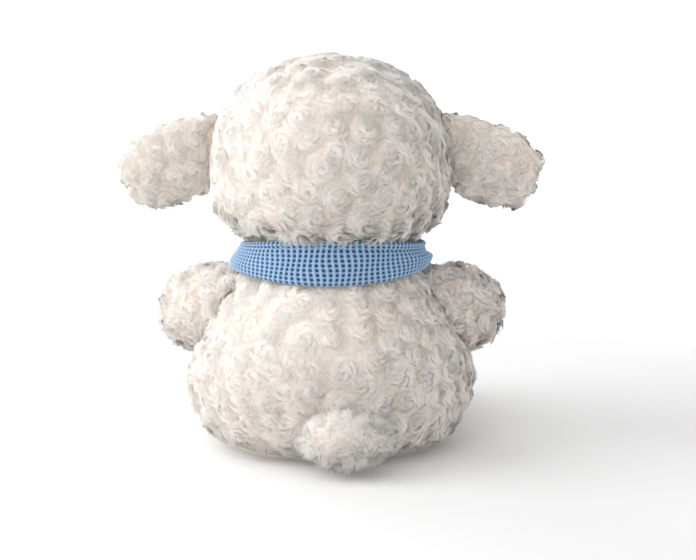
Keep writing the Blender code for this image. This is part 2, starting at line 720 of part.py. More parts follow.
def muzzle_front(across, height):
    """How far forward the muzzle stands at a place."""
    wide, deep, high = muzzle_half()
    share = 1 - (across / wide) ** 2 - ((height - MUZZLE_LIFT) / high) ** 2
    return MUZZLE_REACH - deep + deep * sqrt(max(share, 0.0))


def eye_frame(side):
    """A matrix at the eye's seat on the face, its Z pointing out of the face."""
    wide, deep, high = face_half()
    across = side * EYE_SPREAD
    place = Vector((across, -face_front(across, EYE_LIFT), EYE_LIFT))
    from_middle = place - face_middle()
    out = Vector((from_middle.x / wide**2, from_middle.y / deep**2, from_middle.z / high**2))
    turn = out.to_track_quat("Z", "Y").to_matrix().to_4x4()
    return Matrix.Translation(place) @ turn


def turned_frames(frame, rows):
    """Rings about a matrix's Z, from rows of height and radius."""
    return [frame @ ring for ring in upright_rings([(height, r, r) for height, r in rows])]


def make_eye(side, label, layers, core):
    frame = eye_frame(side)
    eye_rows = [(-STEM_LENGTH, STEM_RADIUS), (GAP, STEM_RADIUS)]
    eye_rows += [(GAP + EYE_DOME * rise, EYE_RADIUS * size) for rise, size in EYE_RING_SHARES]
    eye_mesh = swept_mesh(f"eye_{label}", turned_frames(frame, eye_rows), LIMB_SIDES)
    eye = add(f"eye_{label}", eye_mesh, EYE_PLASTIC)

    outside = -STEM_LENGTH + STEM_RADIUS
    hole = STEM_RADIUS + GAP
    washer_rows = [(outside - WASHER_THICKNESS, WASHER_RADIUS), (outside, WASHER_RADIUS)]
    washer_frames = turned_frames(frame, washer_rows)
    washer_mesh = swept_mesh(f"eye_washer_{label}", washer_frames, LIMB_SIDES)
    washer = add(f"eye_washer_{label}", washer_mesh, WASHER_PLASTIC)
    drill_frames = turned_frames(frame, [(-STEM_LENGTH - OVERRUN, hole), (EYE_DOME, hole)])
    drill_mesh = swept_mesh(f"stem_hole_{label}", drill_frames, SMALL_SIDES)
    drill = cutter(f"stem_hole_{label}", drill_mesh)
    room = WASHER_RADIUS + GAP
    pocket_depth = STEM_LENGTH + WASHER_THICKNESS + GAP
    pocket_frames = turned_frames(frame, [(-pocket_depth, room), (EYE_DOME, room)])
    pocket_mesh = swept_mesh(f"washer_pocket_{label}", pocket_frames, SMALL_SIDES)
    pocket = cutter(f"washer_pocket_{label}", pocket_mesh)
    cut(washer, drill)
    for layer in layers:
        cut(layer, drill)
    cut(core, pocket)
    return [eye, washer]


def make_head():
    skin_mesh = swept_mesh("head_skin", upright_rings(HEAD_ROWS), BODY_SIDES, False, True)
    skin = wall(add("head_skin", skin_mesh, WOOL), SKIN_WALL)
    head_frames = upright_rings(HEAD_ROWS)
    core_mesh = swept_mesh("head_stuffing", head_frames, BODY_SIDES, inset=SKIN_WALL + GAP)
    core = add("head_stuffing", core_mesh, FILLING)
    room = cutter("head_room", swept_mesh("head_room", head_frames, BODY_SIDES, inset=-GAP))

    frames = ellipsoid_frames(face_middle(), *face_half(), FACE_RINGS)
    face = cut(add("face_panel", swept_mesh("face_panel", frames, BODY_SIDES), SHORT_PILE), room)
    face_room = cutter("face_room", swept_mesh("face_room", frames, BODY_SIDES, inset=-GAP))

    middle = Vector((0.0, -MUZZLE_REACH + MUZZLE_DEPTH / 2, MUZZLE_LIFT))
    frames = ellipsoid_frames(middle, *muzzle_half(), MUZZLE_RINGS)
    muzzle = add("muzzle", swept_mesh("muzzle", frames, LIMB_SIDES), SHORT_PILE)
    cut(muzzle, room, face_room)
    muzzle_room = cutter("muzzle_room", swept_mesh("muzzle_room", frames, LIMB_SIDES, inset=-GAP))

    nose_middle = Vector((0.0, -muzzle_front(0.0, NOSE_LIFT), NOSE_LIFT))
    nose_half = (NOSE_WIDTH / 2, NOSE_DEPTH / 2, NOSE_HEIGHT / 2)
    nose_frames = ellipsoid_frames(nose_middle, *nose_half, NOSE_RINGS)
    nose_mesh = swept_mesh("nose", nose_frames, SMALL_SIDES)
    nose = cut(add("nose", nose_mesh, NOSE_THREAD), muzzle_room)

    pieces = [skin, core, face, muzzle, nose, make_mouth()]
    for side, label in ((1, "left"), (-1, "right")):
        pieces += make_eye(side, label, (skin, face), core)
    joint_empty("head_turn_axis", Vector((0.0, 0.0, NECK_HEIGHT)), pieces)


def make_mouth():
    """One stitched line across the muzzle, bent up at both ends."""
    curve = bpy.data.curves.new("mouth_stitch", "CURVE")
    curve.dimensions = "3D"
    curve.bevel_depth = THREAD_RADIUS
    curve.bevel_resolution = 1
    curve.use_fill_caps = True
    spline = curve.splines.new("POLY")
    spline.points.add(MOUTH_POINTS - 1)
    for i, point in enumerate(spline.points):
        share = 2 * i / (MOUTH_POINTS - 1) - 1
        across = share * MOUTH_WIDTH / 2
        height = MOUTH_LIFT - MOUTH_DROP * (1 - share**2)
        front = muzzle_front(across, height) + THREAD_RADIUS + GAP
        point.co = (across, -front, height, 1.0)
    curve.materials.append(NOSE_THREAD)
    made = bpy.data.objects.new("mouth_stitch", curve)
    bpy.context.collection.objects.link(made)
    return made


def ear_hinge():
    """The left ear's seam: its middle, its direction and the direction of the ear."""
    low = EAR_ROOT_HEIGHT - EAR_ROOT_WIDTH / 2
    high = EAR_ROOT_HEIGHT + EAR_ROOT_WIDTH / 2
    seam = Vector((head_radius(high) - head_radius(low), 0.0, high - low)).normalized()
    normal = Vector((seam.z, 0.0, -seam.x))
    reach = head_radius(EAR_ROOT_HEIGHT)
    point = Vector((reach, 0.0, EAR_ROOT_HEIGHT)) + normal * HINGE_STAND_OFF
    outwards = Vector((cos(EAR_DROOP), 0.0, -sin(EAR_DROOP)))
    return point, seam, outwards


def make_ears():
    point, seam, outwards = ear_hinge()
    rows = spline_rows(
        [
            (-EAR_EDGE, EAR_ROOT_WIDTH / 2, EAR_SEAM_THICKNESS / 2),
            *(
                (EAR_LENGTH * along, EAR_WIDTH * wide, EAR_THICKNESS * thick)
                for along, wide, thick in EAR_RING_SHARES
            ),
        ]
    )
    frames = []
    for reach, wide, thick in rows:
        share = min(max(reach / EAR_LENGTH, 0.0), 1.0)
        upright = seam.lerp(outwards.cross(BACK).normalized(), share)
        upright.normalize()
        frames.append(ring_frame(point + outwards * reach, upright * wide, BACK * thick))
    pieces = make_limb("ear_left", frames, [], [], WOOL, EAR_WALL)

    ear_room = cutter("ear_room", swept_mesh("ear_room", frames, LIMB_SIDES, inset=-GAP))
    middle = point + outwards * (EAR_LENGTH * EAR_LINING_PLACE_SHARE)
    upright = outwards.cross(BACK).normalized()
    sink = EAR_THICKNESS * EAR_LINING_SINK_SHARE
    lining_frames = []
    for depth, size in PAD_SHARES:
        place = middle - BACK * (EAR_THICKNESS / 2 - sink + (sink + EAR_LINING_THICKNESS) * depth)
        across = outwards * (EAR_LENGTH * EAR_LINING_SHARE / 2 * size)
        along = upright * (EAR_WIDTH * EAR_LINING_SHARE / 2 * size)
        lining_frames.append(ring_frame(place, across, along))
    lining = swept_mesh("ear_left_lining", lining_frames, LIMB_SIDES)
    pieces.append(cut(add("ear_left_lining", lining, LINING), ear_room))
    add_both_sides("ear", point, pieces)


def make_neck_thread():
    """The drawn-up thread that closes the neck, in the groove between body and head."""
    mesh = bmesh.new()
    reach = NECK_RADIUS + NECK_THREAD_RADIUS + 2 * GAP
    middle = Matrix.Translation((reach, 0.0, NECK_HEIGHT)) @ Matrix.Rotation(pi / 2, 4, "X")
    bmesh.ops.create_circle(
        mesh, segments=THREAD_SIDES, radius=NECK_THREAD_RADIUS, matrix=middle
    )
    loop = list(mesh.verts) + list(mesh.edges)
    bmesh.ops.spin(mesh, geom=loop, axis=UP, angle=2 * pi, steps=BODY_SIDES, use_merge=True)
    bmesh.ops.recalc_face_normals(mesh, faces=mesh.faces)
    made = bpy.data.meshes.new("neck_thread")
    mesh.to_mesh(made)
    mesh.free()
    made.shade_smooth()
    add("neck_thread", made, SEWING_THREAD)


def make_sheep():
    make_body()
    body_room = body_room_mesh(ROOT_GAP)
    core_room = cutter("core_room", body_room_mesh(ROOT_GAP + CORE_SET_BACK))
    make_head()
    make_neck_thread()
    scarf_room = scarf_room_mesh()
    make_ears()
    make_arms(body_room, core_room, scarf_room)
    make_legs(body_room, core_room)
    make_tail(body_room, core_room)
    make_scarf(make_scarf_band())


make_sheep()
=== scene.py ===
"""The looks of a seated plush sheep: padded skins, curly pile, a stitched face and a knitted scarf."""

from math import cos, pi, radians, sin

import bmesh
import bpy
import numpy as np
from bpy.props import FloatProperty, FloatVectorProperty, IntProperty, PointerProperty
from mathutils import Matrix, Vector
from mathutils.bvhtree import BVHTree
from mathutils.kdtree import KDTree


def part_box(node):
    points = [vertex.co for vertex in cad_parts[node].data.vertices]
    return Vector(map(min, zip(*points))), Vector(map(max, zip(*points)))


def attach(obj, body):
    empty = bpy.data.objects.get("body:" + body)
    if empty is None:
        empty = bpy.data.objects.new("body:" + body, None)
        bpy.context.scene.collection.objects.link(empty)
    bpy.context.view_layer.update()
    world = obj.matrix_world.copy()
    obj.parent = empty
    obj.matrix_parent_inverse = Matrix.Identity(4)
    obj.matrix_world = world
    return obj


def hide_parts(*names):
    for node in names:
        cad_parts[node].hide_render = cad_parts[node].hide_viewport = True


bl_info = {
    "name": "Plush sheep",
    "version": (1, 0, 0),
    "blender": (4, 5, 0),
    "location": "View3D > Sidebar > Plush sheep",
    "description": "Sews, fills and dresses a plush sheep round its packed solids",
    "category": "Add Mesh",
}

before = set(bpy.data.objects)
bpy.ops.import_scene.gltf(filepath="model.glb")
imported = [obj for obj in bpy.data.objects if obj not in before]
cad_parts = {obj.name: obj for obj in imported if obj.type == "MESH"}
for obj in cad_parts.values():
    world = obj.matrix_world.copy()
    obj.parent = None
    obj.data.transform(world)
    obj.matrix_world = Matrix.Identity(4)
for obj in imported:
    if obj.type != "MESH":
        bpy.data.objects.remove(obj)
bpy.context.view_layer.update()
MAP = "OFBake"  # the UV map that each material reads: across a thread or a knit, and along it
SIDES = ("left", "right")

# The padded skins with the seeds of their piles. A skin's place here and the stage's seed set its curls
SKINS = {
    "body": 11, "head": 23, "arm_left": 31, "leg_left": 32, "ear_left": 33, "arm_right": 34,
    "leg_right": 35, "ear_right": 36, "tail": 37, "face_panel": 60, "muzzle": 56, "sole_left": 59,
    "sole_right": 60, "ear_left_lining": 65, "ear_right_lining": 66,
}


# Settings
def length_setting(name, default, description):
    return FloatProperty(name=name, description=description, default=default, subtype="DISTANCE")


def colour_setting(name, default, description):
    return FloatVectorProperty(name=name, description=description, default=default, subtype="COLOR")


class WoolSettings(bpy.types.PropertyGroup):
    pile_length: length_setting("Pile length", 0.0082, "Length of a lock of pile from root to tip")
    pile_lift: length_setting("Pile lift", 0.0015, "How far the pile stands off the skin")
    curl_spacing: length_setting("Curl spacing", 0.0130, "Distance from one curl of the pile to the next")
    lock_spacing: length_setting("Lock spacing", 0.0022, "Distance between the locks of fibres")
    fibre_radius: length_setting("Fibre radius", 0.000184, "Half the thickness of a fibre at its widest")
    fibres_per_square: FloatProperty(
        name="Fibres per square millimetre", description="How closely the pile is set", default=1.62
    )
    tip: colour_setting("Pile tips", (0.905, 0.868, 0.822), "Colour at the tips of the pile")
    # The root colour is painted shade: the warm shade deep in the pile and in the creases between its curls
    root: colour_setting("Pile roots", (0.80, 0.645, 0.515), "Colour deep in the pile")


class FaceSettings(bpy.types.PropertyGroup):
    short_pile: length_setting("Short pile", 0.0024, "Length of the pile on the face, soles and ear linings")
    face_tip: colour_setting("Face pile", (0.86, 0.77, 0.67), "Colour of the face's short pile")
    lining_tip: colour_setting("Lining pile", (0.85, 0.66, 0.58), "Colour of the ear linings' short pile")
    nose: colour_setting("Nose thread", (0.30, 0.16, 0.13), "Colour of the thread of the nose and mouth")
    eye: colour_setting("Eyes", (0.012, 0.009, 0.008), "Colour of the moulded eyes")


class ScarfSettings(bpy.types.PropertyGroup):
    rib_pitch: length_setting("Rib pitch", 0.0036, "Distance from one rib of the knit to the next")
    row_pitch: length_setting("Row pitch", 0.0027, "Distance from one row of stitches to the next")
    relief: length_setting("Relief", 0.0014, "Depth of the knit from its ribs to its holes")
    yarn: colour_setting("Yarn", (0.345, 0.545, 0.79), "Colour of the scarf's yarn")


class StageSettings(bpy.types.PropertyGroup):
    camera_distance: length_setting("Camera distance", 1.121, "From the middle of the view to the camera")
    camera_height: FloatProperty(
        name="Camera elevation",
        description="Angle of the camera above the horizon",
        default=radians(11.0),
        subtype="ANGLE",
    )
    lens: FloatProperty(name="Lens", description="Focal length in millimetres", default=100.0)
    seed: IntProperty(name="Seed", description="Seed of where the curls lie", default=7)


GROUPS = {
    "sheep_wool": WoolSettings,
    "sheep_face": FaceSettings,
    "sheep_scarf": ScarfSettings,
    "sheep_stage": StageSettings,
}


def settings(name):
    return getattr(bpy.context.scene, "sheep_" + name)


# Meshes
WELD = 1e-5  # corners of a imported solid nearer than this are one
JOIN = 1e-6  # the same for a mesh that is made here
SMOOTHINGS = 6

# The cloth simulation: the filling's pressure, how far a skin may swell, and its frames
PRESSURE = 1.5
FURTHEST_SWELL = 0.0015
SWELL_FRAMES = 14


def finished(name, mesh, material=None, smooth=True):
    """An object at the origin that holds this mesh, given as a mesh or a BMesh."""
    if isinstance(mesh, bmesh.types.BMesh):
        form = mesh
        mesh = bpy.data.meshes.new(name)
        form.to_mesh(mesh)
        form.free()
    made = bpy.data.objects.new(name, mesh)
    bpy.context.scene.collection.objects.link(made)
    if smooth:
        mesh.shade_smooth()
    if material:
        mesh.materials.append(material)
    return made


def sewn(piece, body, slot, *stands_for):
    """Sews a piece to its body and takes the place of these solids."""
    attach(piece, body)
    if stands_for:
        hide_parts(*stands_for)
    return piece


def middle_and_half(node_name):
    """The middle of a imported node's box and half its size."""
    low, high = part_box(node_name)
    return (low + high) / 2, (high - low) / 2


def read_vertices(items, what):
    flat = np.empty(len(items) * 3)
    items.foreach_get(what, flat)
    return flat.reshape(-1, 3)


def coordinates(mesh):
    return read_vertices(mesh.vertices, "co")


def vertex_normals(mesh):
    return read_vertices(mesh.vertex_normals, "vector")


def place_vertices(mesh, points):
    mesh.vertices.foreach_set("co", np.asarray(points, np.float32).ravel())
    mesh.update()


def of_kind(items, kind):
    return [item for item in items if isinstance(item, kind)]


def apply_modifiers(piece):
    depsgraph = bpy.context.evaluated_depsgraph_get()
    mesh = bpy.data.meshes.new_from_object(piece.evaluated_get(depsgraph))
    piece.modifiers.clear()
    old = piece.data
    piece.data = mesh
    bpy.data.meshes.remove(old)


def closed_form(stem, shell):
    """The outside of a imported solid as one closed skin, without a shell's inner wall on its stuffing."""
    mesh = bmesh.new()
    mesh.from_mesh(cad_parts[stem + "_skin" if shell else stem].data)
    bmesh.ops.remove_doubles(mesh, verts=mesh.verts, dist=WELD)
    if shell:
        stuffing = bmesh.new()
        stuffing.from_mesh(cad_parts[stem + "_stuffing"].data)
        tree = BVHTree.FromBMesh(stuffing)
        stuffing.free()
        inner = []
        for face in mesh.faces:
            middle = face.calc_center_median()
            way = tree.find_nearest(middle)[0] - middle
            if way.dot(face.normal) > 0.5 * way.length:
                inner.append(face)
        bmesh.ops.delete(mesh, geom=inner, context="FACES")
        close_holes(mesh)
    bmesh.ops.recalc_face_normals(mesh, faces=mesh.faces)
    return mesh


def close_holes(mesh):
    """Closes each hole with a fan of faces round its middle."""
    left = [edge for edge in mesh.edges if edge.is_boundary]
    while left:
        rim = [left.pop()]
        for edge in rim:
            near = [other for other in left if set(other.verts) & set(edge.verts)]
            left = [other for other in left if other not in near]
            rim.extend(near)
        middle = sum((vert.co for edge in rim for vert in edge.verts), Vector()) / (2 * len(rim))
        middle = mesh.verts.new(middle)
        for edge in rim:
            mesh.faces.new((*edge.verts, middle))


def even_mesh(piece, voxel):
    """Gives a piece an even net of faces, as cloth needs."""
    remesh = piece.modifiers.new("even", "REMESH")
    remesh.mode = "VOXEL"
    remesh.voxel_size = voxel
    remesh.use_smooth_shade = True
    soften = piece.modifiers.new("soften", "SMOOTH")
    soften.factor = 0.5
    soften.iterations = SMOOTHINGS
    apply_modifiers(piece)


def fill_with_air(piece):
    """Cloth simulation: the sewn skin swells as its filling presses on it."""
    before = coordinates(piece.data)
    cloth = piece.modifiers.new("filling", "CLOTH")
    cloth.settings.quality = 4
    cloth.settings.mass = 0.3
    cloth.settings.tension_stiffness = 20
    cloth.settings.compression_stiffness = 20
    cloth.settings.use_pressure = True
    cloth.settings.uniform_pressure_force = PRESSURE
    cloth.settings.effector_weights.gravity = 0.0
    cloth.collision_settings.use_collision = False
    cloth.point_cache.frame_start = 1
    cloth.point_cache.frame_end = SWELL_FRAMES
    scene = bpy.context.scene
    for number in range(1, SWELL_FRAMES + 1):
        scene.frame_set(number)
    apply_modifiers(piece)
    scene.frame_set(1)
    move = coordinates(piece.data) - before
    length = np.linalg.norm(move, axis=1, keepdims=True)
    move *= np.minimum(1.0, FURTHEST_SWELL / np.maximum(length, 1e-9))
    place_vertices(piece.data, before + move)


def sample_surface(mesh, count, rng):
    """Points spread evenly at random over a mesh, with the skin's direction at each."""
    mesh.calc_loop_triangles()
    corners = np.empty(len(mesh.loop_triangles) * 3, np.int32)
    mesh.loop_triangles.foreach_get("vertices", corners)
    corners = corners.reshape(-1, 3)
    points = coordinates(mesh)
    normals = vertex_normals(mesh)
    a, b, c = (points[corners[:, i]] for i in range(3))
    area = np.linalg.norm(np.cross(b - a, c - a), axis=1) / 2
    chosen = rng.choice(len(area), count, p=area / area.sum())
    u, v = rng.random((2, count))
    over = u + v > 1
    u[over], v[over] = 1 - u[over], 1 - v[over]
    shares = np.stack([1 - u - v, u, v], axis=1)[:, :, None]
    place = (points[corners[chosen]] * shares).sum(axis=1)
    facing = (normals[corners[chosen]] * shares).sum(axis=1)
    return place, unit(facing)


def surface_area(mesh):
    return sum(polygon.area for polygon in mesh.polygons)


def along_parts(vectors, others):
    """How far each vector reaches along the unit vector that goes with it."""
    return (vectors * others).sum(axis=1, keepdims=True)


def unit(vectors):
    return vectors / np.maximum(np.linalg.norm(vectors, axis=-1, keepdims=True), 1e-12)


def spread_out(points, gap):
    """The numbers of those points that keep at least this gap, taken in order."""
    cells = {}
    kept = []
    for number, point in enumerate(points):
        cell = tuple(np.floor(point / gap).astype(int))
        near = (
            cells.get((cell[0] + i, cell[1] + j, cell[2] + k), ())
            for i in (-1, 0, 1)
            for j in (-1, 0, 1)
            for k in (-1, 0, 1)
        )
        if all(np.sum((point - points[n]) ** 2) > gap * gap for group in near for n in group):
            cells.setdefault(cell, []).append(number)
            kept.append(number)
    return np.array(kept)


def nearest(tree_points, points):
    tree = KDTree(len(tree_points))
    for number, point in enumerate(tree_points):
        tree.insert(point, number)
    tree.balance()
    return np.array([tree.find(point)[1] for point in points])


def turned(vectors, about, angle):
    """Vectors turned about others by an angle each."""
    c = np.cos(angle)[:, None]
    s = np.sin(angle)[:, None]
    return vectors * c + np.cross(about, vectors) * s + about * along_parts(vectors, about) * (1 - c)


# Curls: each is a place on the skin that the pile turns round
CURL_TRIES = 9  # places tried for each curl that would fit
CURL_CLOSEST_SHARE = 0.86  # of the spacing, between two curls
CURL_EDGE_SHARE = 0.56  # of the spacing, from a curl's middle to its edge
CURL_CALM_SHARE = 0.45  # of the way to the edge: further out, every curl's pile turns to the same angle
CURL_LEAST, CURL_MOST = radians(28), radians(84)  # between the pile's lie and the way in
CURL_RISE_SHARE = 0.35  # of the relief, above the skin at a curl's middle
CURL_FALL_SHARE = 0.75  # of the relief, that the skin falls by towards the edge
CURL_FALL_REACH = 1.25


class Curls:
    """The curls that the pile of one skin is brushed in: where each lies and how it turns."""

    def __init__(self, mesh, gap, rng):
        count = int(surface_area(mesh) / gap**2 * CURL_TRIES)
        places = sample_surface(mesh, count, rng)[0]
        kept = spread_out(places, gap * CURL_CLOSEST_SHARE)
        self.gap = gap
        self.places = places[kept]
        self.hand = rng.choice((-1.0, 1.0), len(kept))
        self.angle = rng.uniform(CURL_LEAST, CURL_MOST, len(kept))
        self.tone = rng.uniform(-1.0, 1.0, len(kept))

    def at(self, points, normals):
        """For each point: its curl, the share of the way to the curl's edge, and the pile's lie."""
        number = nearest(self.places, points)
        away = points - self.places[number]
        away -= normals * along_parts(away, normals)
        reach = np.linalg.norm(away, axis=1) / (self.gap * CURL_EDGE_SHARE)
        out = unit(away)
        round_it = np.cross(normals, out) * self.hand[number][:, None]
        calm = 1 - CURL_CALM_SHARE
        edge = np.clip(reach - CURL_CALM_SHARE, 0, calm)[:, None] / calm
        angle = self.angle[number][:, None] * (1 - edge) + CURL_MOST * edge
        return number, reach, round_it * np.sin(angle) - out * np.cos(angle)


def relief(piece, curls, height):
    """Lifts the skin under each curl and draws it in between them."""
    points = coordinates(piece.data)
    normals = vertex_normals(piece.data)
    reach = np.minimum(curls.at(points, normals)[1], CURL_FALL_REACH)
    rise = height * (CURL_RISE_SHARE - CURL_FALL_SHARE * reach**2)
    place_vertices(piece.data, points + normals * rise[:, None])


# Fibres: each has a root, three corners round its middle and a tip
RING = ((1.0, 0.0), (-0.5, 0.866), (-0.5, -0.866))
FIBRE_FACES = ((0, 2, 1), (0, 3, 2), (0, 1, 3), (1, 2, 4), (2, 3, 4), (3, 1, 4))
SOFTNESS = (0.30, 0.75, 0.92) * 2  # how far each face's shading leans to the skin's direction
STEPS = (0.0, 0.45, 1.0)  # of a fibre's length, at its root, middle and tip
GATHER = (0.0, 0.20, 0.42)  # how far each of them has moved to the middle of its lock
MAP_WIDTH = 1 / 48  # that a fibre takes across its map
MOST_FIBRES = 32000  # in one piece
FLOOR_ROOM = 0.0005  # the lowest that a fibre reaches

# Locks: the fibres near one point, which lie alike
LIE_SPREAD = 0.11
LOCK_BENDS = (radians(22), radians(34))  # from one step of a lock to the next
LOCK_SIZES = (0.80, 1.10)
LOCK_HEIGHTS = (0.90, 1.10)
MIDDLE_HEIGHT, EDGE_FALL, EDGE_REACH = 1.18, 0.42, 1.5  # of the pile's lift, across a curl
CURLED_RISES, UPRIGHT_RISES = (0.90, 0.12), (0.45, 0.55)  # of that height, at the middle and the tip
LAID_RISES = ((1, 0.90), (2, 1.02))  # the same, above a curved skin
HUG = 0.85  # how closely the locks follow a curved skin
HANG_FROM, HANG_LONGER, HANG_HIGHER = 0.2, 0.5, 1.6  # where a comb makes the pile hang
GROWN = (0.78, 1.12)  # a fibre's length in its lock's
STRAYS, STRAY_GATHER, STRAY_LIFT = 0.05, 0.2, 0.80
LOOSE, LOOSE_UPRIGHT = 0.00042, 0.00040  # how far the tips wander
ROOT_DEPTH = 0.0006  # of a fibre's root under the skin
RADIUS_RANGE = (0.75, 1.25)
# The pile's tone: a base, a random spread from curl to curl, and painted shade that darkens it towards each
# curl's edge, from this share of the way on, for the creases between curls
TONE, CURL_TONE, EDGE_SHADE, EDGE_SHADE_FROM = 0.62, 0.12, 0.34, 0.55
LOCK_TONES, FIBRE_TONES = (-0.08, 0.08), (-0.06, 0.06)
COMB = 0.35  # how far the pile is brushed down


def fibres(name, lines, radii, tone, facing, material):
    """One mesh of closed fibres, thickest in their middle and tapered to both ends.

    Their shading leans to the skin's own direction, as light that soaks into pile makes it do.
    """
    count = len(lines)
    along = unit(lines[:, 2] - lines[:, 0])
    side = unit(np.cross(along, facing))
    other = np.cross(along, side)
    points = np.empty((count, 5, 3))
    points[:, 0] = lines[:, 0]
    points[:, 4] = lines[:, 2]
    for corner, (x, y) in enumerate(RING):
        points[:, 1 + corner] = lines[:, 1] + (side * x + other * y) * radii[:, None]
    corners = np.array(FIBRE_FACES).ravel()
    mesh = bpy.data.meshes.new(name)
    mesh.vertices.add(count * 5)
    mesh.loops.add(count * len(corners))
    mesh.polygons.add(count * len(FIBRE_FACES))
    mesh.vertices.foreach_set("co", points.astype(np.float32).ravel())
    loops = (corners[None, :] + 5 * np.arange(count)[:, None]).ravel()
    mesh.loops.foreach_set("vertex_index", loops.astype(np.int32))
    starts = np.arange(count * len(FIBRE_FACES)) * 3
    mesh.polygons.foreach_set("loop_start", starts.astype(np.int32))
    across = np.array((0.5, 0.0, 0.5, 1.0, 0.5))
    up = np.array((0.0, *[STEPS[1]] * 3, 1.0))
    u = np.clip(tone, 0.0, 1.0)[:, None] * (1 - MAP_WIDTH) + across[corners][None, :] * MAP_WIDTH
    v = np.broadcast_to(up[corners][None, :], u.shape)
    layer = mesh.uv_layers.new(name=MAP)
    layer.data.foreach_set("uv", np.stack([u, v], axis=-1).astype(np.float32).ravel())
    mesh.update(calc_edges=True)
    mesh.validate()
    made = finished(name, mesh, material)
    a, b, c = (points[:, [face[i] for face in FIBRE_FACES]] for i in range(3))
    own = unit(np.cross(b - a, c - a))
    lean = np.array(SOFTNESS)[:, None]
    soft = unit(own * (1 - lean) + facing[:, None, :] * lean)
    normals = mesh.attributes.new("custom_normal", "FLOAT_VECTOR", "CORNER")
    normals.data.foreach_set("vector", np.repeat(soft, 3, axis=1).astype(np.float32).ravel())
    made.visible_shadow = False
    return made


def lay_down(mesh, locks, guides, high, hold):
    """Bends the locks over a curved skin, so that they keep their height above it."""
    form = bmesh.new()
    form.from_mesh(mesh)
    tree = BVHTree.FromBMesh(form)
    form.free()
    for step, rise in LAID_RISES:
        for number, point in enumerate(locks + guides[:, step]):
            place, normal = tree.find_nearest(point)[:2]
            wanted = np.array(place + normal * (high[number] * rise))
            guides[number, step] += (wanted - point) * hold[number]


def lock_guides(skin, curls, length, lift, comb, upright, rng):
    """The locks of one skin: their roots, and each one's way to its middle and tip, curl and reach."""
    count = int(surface_area(skin.data) / settings("wool").lock_spacing ** 2)
    locks, facing = sample_surface(skin.data, count, rng)
    curl, reach, lie = curls.at(locks, facing)
    down = facing * facing[:, 2:3] - np.array((0.0, 0.0, 1.0))
    pull = comb(locks)[:, None] if callable(comb) else comb
    lie = lie + down * pull + rng.normal(0, LIE_SPREAD, lie.shape)
    lie = unit(lie - facing * along_parts(lie, facing))
    bend = curls.hand[curl] * rng.uniform(*LOCK_BENDS, count)
    hang = np.clip(pull - HANG_FROM, 0, 1)[:, 0] if callable(comb) else 0.0
    size = rng.uniform(*LOCK_SIZES, count) * (1 + HANG_LONGER * hang)
    high = MIDDLE_HEIGHT - EDGE_FALL * (1.0 - upright) * np.minimum(reach, EDGE_REACH) ** 2
    high = high * lift * (1 + HANG_HIGHER * hang) * rng.uniform(*LOCK_HEIGHTS, count)
    guides = np.zeros((count, 3, 3))
    for step in (1, 2):
        curled, standing = CURLED_RISES[step - 1], UPRIGHT_RISES[step - 1]
        rise = curled + (standing - curled) * upright
        move = lie * ((STEPS[step] - STEPS[step - 1]) * length * size)[:, None]
        guides[:, step] = guides[:, step - 1] + move + facing * (high * rise)[:, None]
        lie = turned(lie, facing, bend)
    if not upright:
        hold = HUG * (1 - np.clip(2 * hang, 0, 1)) * np.ones(count)
        lay_down(skin.data, locks, guides, high, hold)
    return locks, guides, curl, reach


def pile(
    stem, skin, curls, body, keep=None, finish="curly_pile", slot="curly_wool_plush",
    length=None, lift=None, share=1.0, comb=COMB, upright=0.0,
):
    """Sets pile on a skin: fibres in locks, laid in curls or upright. It rides with the skin."""
    wool = settings("wool")
    rng = np.random.default_rng(SKINS[stem])
    lift = lift or wool.pile_lift
    count = int(surface_area(skin.data) * 1e6 * wool.fibres_per_square * share)
    roots, facing = sample_surface(skin.data, count, rng)
    if keep is not None:
        chosen = keep(roots)
        roots, facing = roots[chosen], facing[chosen]
    locks, guides, curl, reach = lock_guides(
        skin, curls, length or wool.pile_length, lift, comb, upright, rng
    )
    near = nearest(locks, roots)
    offset = roots - locks[near]
    grown = rng.uniform(*GROWN, len(roots))[:, None]
    stray = rng.random(len(roots)) < STRAYS
    lines = np.empty((len(roots), 3, 3))
    for step in range(3):
        loose = rng.normal(0, 1.0, roots.shape) * (LOOSE + LOOSE_UPRIGHT * upright) * STEPS[step]
        gather = np.where(stray, STRAY_GATHER, 1.0)[:, None] * GATHER[step]
        lines[:, step] = roots + guides[near, step] * grown - offset * gather + loose
    lines[stray, 2] += facing[stray] * (lift * STRAY_LIFT)
    lines[:, 0] -= facing * ROOT_DEPTH
    lines[:, :, 2] = np.maximum(lines[:, :, 2], FLOOR_ROOM)
    # Painted shade: towards each curl's edge the pile takes more of the root colour, as in the creases
    # between curls
    tone = CURL_TONE * curls.tone[curl[near]] - EDGE_SHADE * np.clip(reach[near] - EDGE_SHADE_FROM, 0, 1)
    tone = TONE + tone * (1.0 - upright)
    tone = tone + rng.uniform(*LOCK_TONES, len(locks))[near] + rng.uniform(*FIBRE_TONES, len(roots))
    radii = wool.fibre_radius * rng.uniform(*RADIUS_RANGE, len(roots))
    parts = int(np.ceil(len(lines) / MOST_FIBRES))
    for number in range(parts):
        part = slice(number, None, parts)
        name = f"{stem}_pile_{number + 1}" if parts > 1 else f"{stem}_pile"
        piece = fibres(name, lines[part], radii[part], tone[part], facing[part], material(finish))
        sewn(piece, body, slot)


